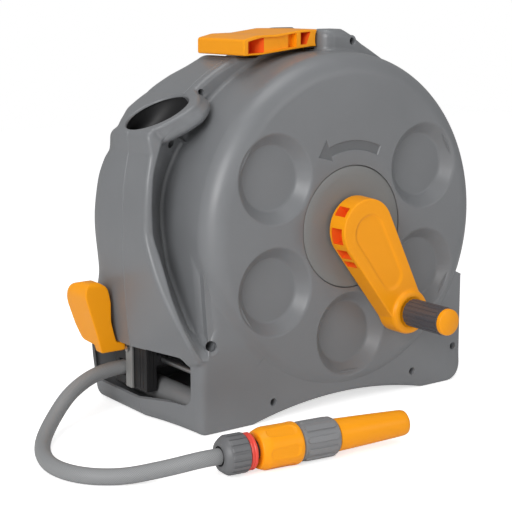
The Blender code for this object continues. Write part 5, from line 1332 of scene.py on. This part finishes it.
knob_place = (CRANK_END.x, 0, CRANK_END.y)
grip = turned("knob_grip_skin", KNOB_CORE, knob_place, around=96)
rib_outline = rounded([(-0.0019, 0.0135, 0), (0.0019, 0.0135, 0), (0.0015, KNOB_RADIUS, 0.0005),
                       (-0.0015, KNOB_RADIUS, 0.0005)], 4)
rib = prism("knob_rib", rib_outline, -0.0840, -0.0336)
ring_of(grip, rib, KNOB_RIBS, knob_place, "Y", dark_grey)
dress(grip, dark_grey, "knob", "knob_grip", slot="dark_grey")
dress(turned("knob_cap_skin", KNOB_CAP, knob_place, around=72), yellow, "knob", "knob_cap",
      slot="bright_yellow")

# Carry handle: a folding grip of yellow plastic on a steel pin in the ear. It is a hollow box with a
# thin top and bottom, open pockets in front and behind, and a plain rounded end.
HANDLE_Y = (0.057, 0.145)
HANDLE_OUTLINE = rounded([
    (-0.104, 0.3865, 0.002), (-0.104, 0.4038, 0.003), (-0.086, 0.4080, 0.02), (-0.060, 0.4085, 0.03),
    (-0.024, 0.4130, 0.02), (0.014, 0.4125, 0), (0.014, 0.3945, 0), (-0.013, 0.3950, 0.01),
    (-0.045, 0.3915, 0.02), (-0.080, 0.3875, 0.02)])
HANDLE_WEB = [(-0.0985, 0.3887), (-0.0985, 0.4015), (-0.082, 0.4055), (-0.058, 0.4062), (-0.034, 0.4098),
              (-0.034, 0.3948), (-0.045, 0.3936), (-0.078, 0.3896)]
HANDLE_DEEP = [(-0.0985, 0.3887), (-0.0985, 0.4015), (-0.0822, 0.4050), (-0.0822, 0.3892)]
HANDLE_DEEP_MOUTH = [(-0.0985, 0.3887), (-0.0985, 0.4015), (-0.0752, 0.4056), (-0.0752, 0.3898)]
HANDLE_MIDDLE = [(-0.0432, 0.3942), (-0.0432, 0.4080), (-0.0345, 0.4094), (-0.0345, 0.3950)]
HANDLE_HINGE = [(-0.0285, 0.3970), (-0.0285, 0.4100), (-0.0150, 0.4108), (-0.0205, 0.3972)]
HANDLE_HOLE = 0.0034
HANDLE_SWING = math.hypot(0.018, 0.011) + 0.0010
HANDLE_POCKETS = ((HANDLE_WEB, HANDLE_WEB, -0.003, 0.0032), (HANDLE_DEEP, HANDLE_DEEP_MOUTH, 0.0026, 0.020),
                  (HANDLE_MIDDLE, HANDLE_MIDDLE, 0.0026, 0.009), (HANDLE_HINGE, HANDLE_HINGE, -0.003, 0.020))


def carry_handle():
    """The grip with its knuckle, softened together, and then its pockets and the hole for its pin."""
    pivot = (HANDLE_PIVOT[0], 0, HANDLE_PIVOT[1])
    grip = prism("carry_handle_skin", HANDLE_OUTLINE, *HANDLE_Y)
    boolean(grip, turned("barrel", rod(KNUCKLE_RADIUS, *KNUCKLE_Y), pivot), "UNION")
    for low, high in ((HANDLE_Y[0] - 0.01, KNUCKLE_Y[0] + 0.0003),
                      (KNUCKLE_Y[1] - 0.0003, HANDLE_Y[1] + 0.01)):
        boolean(grip, turned("shoulder", rod(HANDLE_SWING, low, high), pivot, around=96))
    melted(grip, 0.00065, 4)
    for face, sense in ((HANDLE_Y[0], 1), (HANDLE_Y[1], -1)):
        for outline, mouth, start, depth in HANDLE_POCKETS:
            first, last = face + sense * start, face + sense * depth
            low, high = (mouth, outline) if sense > 0 else (outline, mouth)
            boolean(grip, prism("pocket", low, min(first, last), max(first, last), high_outline=high))
    boolean(grip, turned("pin_hole", rod(HANDLE_HOLE, 0.05, 0.15), pivot, around=32))

    # Whether a point lies deep in the end or hinge pockets, where the painted shade goes.
    def deep(point):
        depth = min(point.y - HANDLE_Y[0], HANDLE_Y[1] - point.y)
        end = -0.0988 < point.x < -0.0745 and 0.3884 < point.z < 0.4020 + (point.x + 0.0985) * 0.215
        hinge = -0.0288 < point.x < -0.0147 and 0.3966 < point.z < 0.4104 + (point.x + 0.0285) * 0.06
        return 0.0034 < depth < 0.0206 and (end or hinge)

    # Faces deep in the end and hinge pockets take the painted shade.
    shade_pockets(grip, deep, yellow, painted_pocket_shade)
    return grip


dress(carry_handle(), None, "handle", "carry_handle", slot="bright_yellow", angle=30)

# Guide lever: the yellow thumb paddle that pushes the hose guide along its rail. One solid rounded
# moulding with a waist, whose foot turns in under the case and is screwed to the bracket.
LEVER_FRONT = 0.1205
LEVER_SHAPE = rounded([
    (-0.2174, 0.0713, 0.002), (-0.2174, 0.0806, 0.002), (-0.2278, 0.0812, 0.003), (-0.2312, 0.0930, 0.010),
    (-0.2342, 0.1060, 0.03), (-0.2340, 0.1270, 0.03), (-0.2375, 0.1430, 0.012), (-0.2480, 0.1500, 0.010),
    (-0.2625, 0.1500, 0.010), (-0.2650, 0.1360, 0.02), (-0.2600, 0.1190, 0.03), (-0.2530, 0.0958, 0.02),
    (-0.2465, 0.0713, 0.003)])
LEVER_SIDE = rounded([
    (LEVER_FRONT, 0.0713, 0.002), (LEVER_FRONT, 0.1500, 0.006), (0.1350, 0.1505, 0.02),
    (0.1570, 0.1450, 0.018), (0.1695, 0.1250, 0.020), (0.1670, 0.0960, 0.02), (0.1590, 0.0805, 0.008),
    (0.1335, 0.0790, 0.001), (0.1335, 0.0713, 0.002)])
lever = prism("guide_lever_skin", LEVER_SHAPE, LEVER_FRONT, 0.170)
boolean(lever, prism("side", LEVER_SIDE, -0.27, -0.21, "X"), "INTERSECT")
melted(lever, 0.0006, 16)
dress(lever, yellow, "guide", "guide_lever", slot="bright_yellow", angle=60)

# Hose guide: a black carriage that slides on the steel rail, with narrow upright grooves in its left
# and front faces, and a grey steel bracket with a rounded top that ties it to the lever with one screw.


def recast(node, voxel, rounds):
    """Copy of a CAD body at rest, remeshed finely so that its edges are rounded."""
    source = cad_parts[node]
    mesh = source.data.copy()
    mesh.transform(source.matrix_world)
    item = bpy.data.objects.new(node + "_skin", mesh)
    bpy.context.scene.collection.objects.link(item)
    return melted(item, voxel, rounds)


black_plastic = grained("black_plastic", (0.011, 0.011, 0.012), 0.55, 0.0005, 0.00003)
carriage = recast("guide_carriage", 0.0006, 3)
LINE_HALF = 0.0004
LINE_Z = (0.034, 0.0775)
lines = []
for y in (0.0915, 0.0975):
    low, high = y - LINE_HALF, y + LINE_HALF
    lines.append([(-0.2140, low), (-0.2140, high), (-0.2125, high), (-0.2125, low)])
for x in (-0.2085, -0.2035):
    low, high = x - LINE_HALF, x + LINE_HALF
    lines.append([(low, 0.0845), (high, 0.0845), (high, 0.0861), (low, 0.0861)])
for outline in lines:
    boolean(carriage, prism("line", outline, *LINE_Z, "Z"))
dress(carriage, black_plastic, "guide", "guide_carriage", slot="black_plastic", angle=45)
bracket_grey = grained("bracket_grey", (0.235, 0.235, 0.230), 0.40, 0.0006, 0.00002)
dress(recast("guide_bracket", 0.0005, 4), bracket_grey, "guide", "guide_bracket", slot="case_grey", angle=45)

# Roller: a smooth tube of grey plastic with rounded ends, loose on a steel axle at the bottom of the
# opening, so that the hose runs out over it.
ROLLER_PROFILE = [(0.0046, 0.0242), (0.0110, 0.0242), (0.0124, 0.0250), (0.0130, 0.0266), (0.0130, 0.1834),
                  (0.0124, 0.1850), (0.0110, 0.1858), (0.0046, 0.1858)]
roller_grey = grained("roller_grey", (0.200, 0.201, 0.205), 0.36, 0.0008, 0.00002)
dress(turned("guide_roller_skin", ROLLER_PROFILE, (-0.184, 0, 0.0275), around=72), roller_grey, "roller",
      "guide_roller", slot="case_grey")

# Nozzle, drawn about the X axis from its left end and then laid on the floor. The hose nut is a dark
# grey collar with coarse ribs and a chamfered left end.
NOZZLE_PLACE = (Matrix.Translation(REEL + NOZZLE_START) @ Matrix.Rotation(NOZZLE_TURN, 4, "Z")
                @ Matrix.Translation(-REEL))
NUT_RADIUS = 0.0195
NUT_PROFILE = [(0.0100, 0.0001), (0.0140, 0.0001), (0.0150, 0.0006), (0.0180, 0.0046), (0.0186, 0.0060),
               (0.0186, 0.0250), (0.0180, 0.0257), (0.0100, 0.0257)]
NUT_RIBS = 18


def lay(item):
    """Lays a piece of the nozzle in its place on the floor."""
    item.data.transform(NOZZLE_PLACE)
    return item


nut_grey = grained("nut_grey", (0.150, 0.152, 0.158), 0.45, 0.0006, 0.00004)
nut = turned("hose_nut_skin", NUT_PROFILE, (0, 0, 0), "X", 108)
nut_rib_outline = rounded([(0.0035, 0.0150, 0), (0.0250, 0.0150, 0), (0.0250, NUT_RADIUS, 0.0006),
                           (0.0068, NUT_RADIUS, 0.002)], 4)
nut_rib = prism("nut_rib", nut_rib_outline, -0.0019, 0.0019)
ring_of(nut, nut_rib, NUT_RIBS, (0, 0, 0), "X", nut_grey)
dress(lay(nut), nut_grey, "guide", "hose_nut", slot="case_grey", angle=30)

# Connector: a red ring with two ridges behind the yellow body, which flares and carries long
# rounded finger pads and slides back to let the nozzle go; its dark core joins it to the nozzle.
RING_PROFILE = [(0.0100, 0.0264), (0.0176, 0.0264), (0.0183, 0.0272), (0.0183, 0.0285), (0.0176, 0.0293),
                (0.0176, 0.0300), (0.0183, 0.0308), (0.0183, 0.0322), (0.0174, 0.0332), (0.0140, 0.0345),
                (0.0100, 0.0345)]
red_plastic = grained("red_plastic", (0.800, 0.072, 0.050), 0.36, 0.0007, 0.00002, 0.02)
connector_ring = turned("connector_ring_skin", RING_PROFILE, (0, 0, 0), "X", 96)
dress(lay(connector_ring), red_plastic, "guide", "connector_ring", slot="red_plastic")
BODY_PROFILE = [(0.0104, 0.0385), (0.0172, 0.0385), (0.0183, 0.0390), (0.0188, 0.0400), (0.0200, 0.0430),
                (0.0212, 0.0465), (0.0214, 0.0490), (0.0214, 0.0800), (0.0210, 0.0822), (0.0198, 0.0834),
                (0.0182, 0.0840), (0.0104, 0.0840)]
BODY_PADS = 6
PAD_OUTLINE = rounded([(0.0455, -0.0050, 0.0048), (0.0775, -0.0062, 0.0055), (0.0775, 0.0062, 0.0055),
                       (0.0455, 0.0050, 0.0048)], 8)
body = turned("connector_body_skin", BODY_PROFILE, (0, 0, 0), "X", 160)
for number in range(BODY_PADS):
    turn = 2 * math.pi * (number + 0.5) / BODY_PADS
    turning = Matrix.Translation(REEL) @ Matrix.Rotation(turn, 4, "X") @ Matrix.Translation(-REEL)
    cutter = prism("pad", PAD_OUTLINE, 0.0202, 0.0260, "Z")
    cutter.data.transform(turning)
    boolean(body, cutter)
melted(body, 0.0006, 3)
dress(lay(body), yellow, "release", "connector_body", slot="bright_yellow", angle=50)

# Nozzle grip: a grey sleeve with ten raised rounded flutes, and the yellow barrel that turns in it
# to set the jet, tapered to a rounded mouth.
GRIP_CORE = [(0.0105, 0.0847), (0.0178, 0.0847), (0.0186, 0.0856), (0.0186, 0.1250), (0.0178, 0.1261),
             (0.0105, 0.1261)]
GRIP_FLUTES = 10
grip_grey = grained("grip_grey", (0.225, 0.228, 0.236), 0.42, 0.0006, 0.00004)
sleeve = turned("nozzle_grip_skin", GRIP_CORE, (0, 0, 0), "X", 96)
flute_foot = rounded([(0.0875, -0.0038, 0.0037), (0.1235, -0.0038, 0.0037), (0.1235, 0.0038, 0.0037),
                      (0.0875, 0.0038, 0.0037)], 8)
flute_top = rounded([(0.0885, -0.0028, 0.0027), (0.1225, -0.0028, 0.0027), (0.1225, 0.0028, 0.0027),
                     (0.0885, 0.0028, 0.0027)], 8)
flute = prism("flute", flute_foot, 0.0160, 0.0200, "Z", flute_top)
ring_of(sleeve, flute, GRIP_FLUTES, (0, 0, 0), "X", grip_grey)
dress(lay(sleeve), grip_grey, "guide", "nozzle_grip", slot="case_grey", angle=30)
BARREL_PROFILE = [(0.0062, 0.1272), (0.0155, 0.1272), (0.0163, 0.1278), (0.0165, 0.1290), (0.0150, 0.1700),
                  (0.0134, 0.2060), (0.0131, 0.2095), (0.0124, 0.2116), (0.0108, 0.2128), (0.0085, 0.2129),
                  (0.0068, 0.2124), (0.0062, 0.2110)]
dress(lay(turned("nozzle_barrel_skin", BARREL_PROFILE, (0, 0, 0), "X", 96)), yellow, "jet", "nozzle_barrel",
      slot="bright_yellow")

# Park tube: a pocket of black plastic under the nozzle hole, fixed inside the case. It narrows to a
# long neck for the nozzle's barrel.
PARK_RINGS = [((-0.1864, 0.0970, 0.3268), 0.0400, 1.0), ((-0.1838, 0.0985, 0.3215), 0.0385, 1.0),
              ((-0.1850, 0.1080, 0.3130), 0.0300, 0.6), ((-0.1925, 0.1200, 0.3040), 0.0215, 0.2),
              ((-0.1960, 0.1260, 0.2960), 0.0185, 0.0), ((-0.2010, 0.1305, 0.2260), 0.0148, 0.0)]
PARK_WALL = 0.002
PARK_AROUND = 72


def park_tube():
    """Pocket closed at its foot: rings up its outside and down its inside."""
    last = len(PARK_RINGS) - 1
    walls = PARK_RINGS[::-1]
    walls += [((x, y, z + PARK_WALL * (index == last)), radius - PARK_WALL, tilt)
              for index, ((x, y, z), radius, tilt) in enumerate(PARK_RINGS)]
    points = []
    for (x, y, z), radius, tilt in walls:
        lean = SOCKET_TILT * tilt
        for step in range(PARK_AROUND):
            turn = 2 * math.pi * step / PARK_AROUND
            across, deep = radius * math.cos(turn), radius * math.sin(turn)
            points.append((x + across * math.cos(lean), y + deep, z + across * math.sin(lean)))
    ends = [tuple(range(PARK_AROUND))[::-1], tuple(range(len(points) - PARK_AROUND, len(points)))]
    faces = tube_faces(len(walls), PARK_AROUND) + ends
    return mend(mesh_object("park_tube", points, faces), WELD)


dress(park_tube(), black_plastic, "housing", "nozzle_socket", slot="black_plastic", angle=60)

# Drum inside the case: a core and two flanges of plain grey plastic, and the wound hose as one closed
# ring, seven turns wide, whose outermost turns are rounded.
drum_grey = grained("drum_grey", (0.110, 0.113, 0.118), 0.48, 0.0006, 0.00004)
PACK_Y = (0.0388, 0.1512)
PACK_TURNS = 7
PACK_INNER = 0.0604
PACK_RADIUS = 0.1466
PACK_ROUND_STEPS = 8


def pack_profile():
    """Profile of the wound hose: its bore and the rounded turns of its outermost layer."""
    width = (PACK_Y[1] - PACK_Y[0]) / PACK_TURNS
    outline = [(PACK_INNER, PACK_Y[0])]
    for number in range(PACK_TURNS):
        middle = PACK_Y[0] + width * (number + 0.5)
        for step in range(PACK_ROUND_STEPS + 1):
            turn = math.pi * (0.06 + 0.88 * step / PACK_ROUND_STEPS)
            radius = PACK_RADIUS - HOSE_RADIUS * (1 - math.sin(turn))
            outline.append((radius, middle - width / 2 * math.cos(turn)))
    return outline + [(PACK_INNER, PACK_Y[1])]


def dress_nodes(material, *nodes):
    """Gives a material to pieces that keep their own solids."""
    for node in nodes:
        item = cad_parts[node]
        if not item.material_slots:
            item.data.materials.append(material)
        for slot in item.material_slots:
            slot.material = material


wound_grey = grained("wound_hose_grey", HOSE_COLOUR[:3], 0.5, 0.0009, 0.00006, 0.08)
dress(turned("hose_pack_skin", pack_profile(), (0, 0, AXIS_Z), around=144), wound_grey, "drum", "hose_pack",
      slot="hose_grey")
dress_nodes(drum_grey, "drum_core", "front_flange", "rear_flange")

# Steel pieces: turned and zinc plated, with faint lines of the lathe along each. The screws sit at the
# bottom of their bores; the rail and the axles are plain drawn rod.
STEEL_DARK = (0.300, 0.305, 0.312, 1)
STEEL_LIGHT = (0.520, 0.525, 0.530, 1)
STEEL_LINES = (900, 60, 900)


def steel_material():
    """Zinc plated steel with fine lines along it."""
    material, tree, shader = new_material("zinc_steel")
    place = add(tree, "ShaderNodeTexCoord").node.outputs["Object"]
    stretched = add(tree, "ShaderNodeMapping", {"Vector": place, "Scale": STEEL_LINES})
    lines = add(tree, "ShaderNodeTexNoise", {"Vector": stretched, "Scale": 1.0, "Detail": 4.0})
    feed(shader, {"Base Color": mixed(tree, lines, STEEL_DARK, STEEL_LIGHT), "Metallic": 1.0,
                  "Roughness": ranged(tree, lines, 0.0, 1.0, 0.28, 0.46),
                  "Normal": raised(tree, lines, 0.3, 0.00002)})
    return material


steel = steel_material()
case_screws = ["case_screw_%d" % number for number in range(1, len(SCREWS) + 1)]
dress_nodes(steel, *case_screws, "crank_screw", "guide_screw", "handle_pin", "knob_spindle", "guide_rail",
            "roller_axle")

# Dark grey plastic: the two bushes that the drum turns in, the fixed inlet spindle and its nut, the
# drum's tail and the connector's core. The spindle is sealed in the drum by two black rubber rings.
dress_nodes(dark_grey, "front_bush", "rear_bush", "inlet_spindle", "inlet_nut", "drum_tail", "connector_core")
seal_rubber = grained("seal_rubber", (0.020, 0.020, 0.020), 0.6, 0.0008, 0.00003)
dress_nodes(seal_rubber, "spindle_seal_1", "spindle_seal_2")
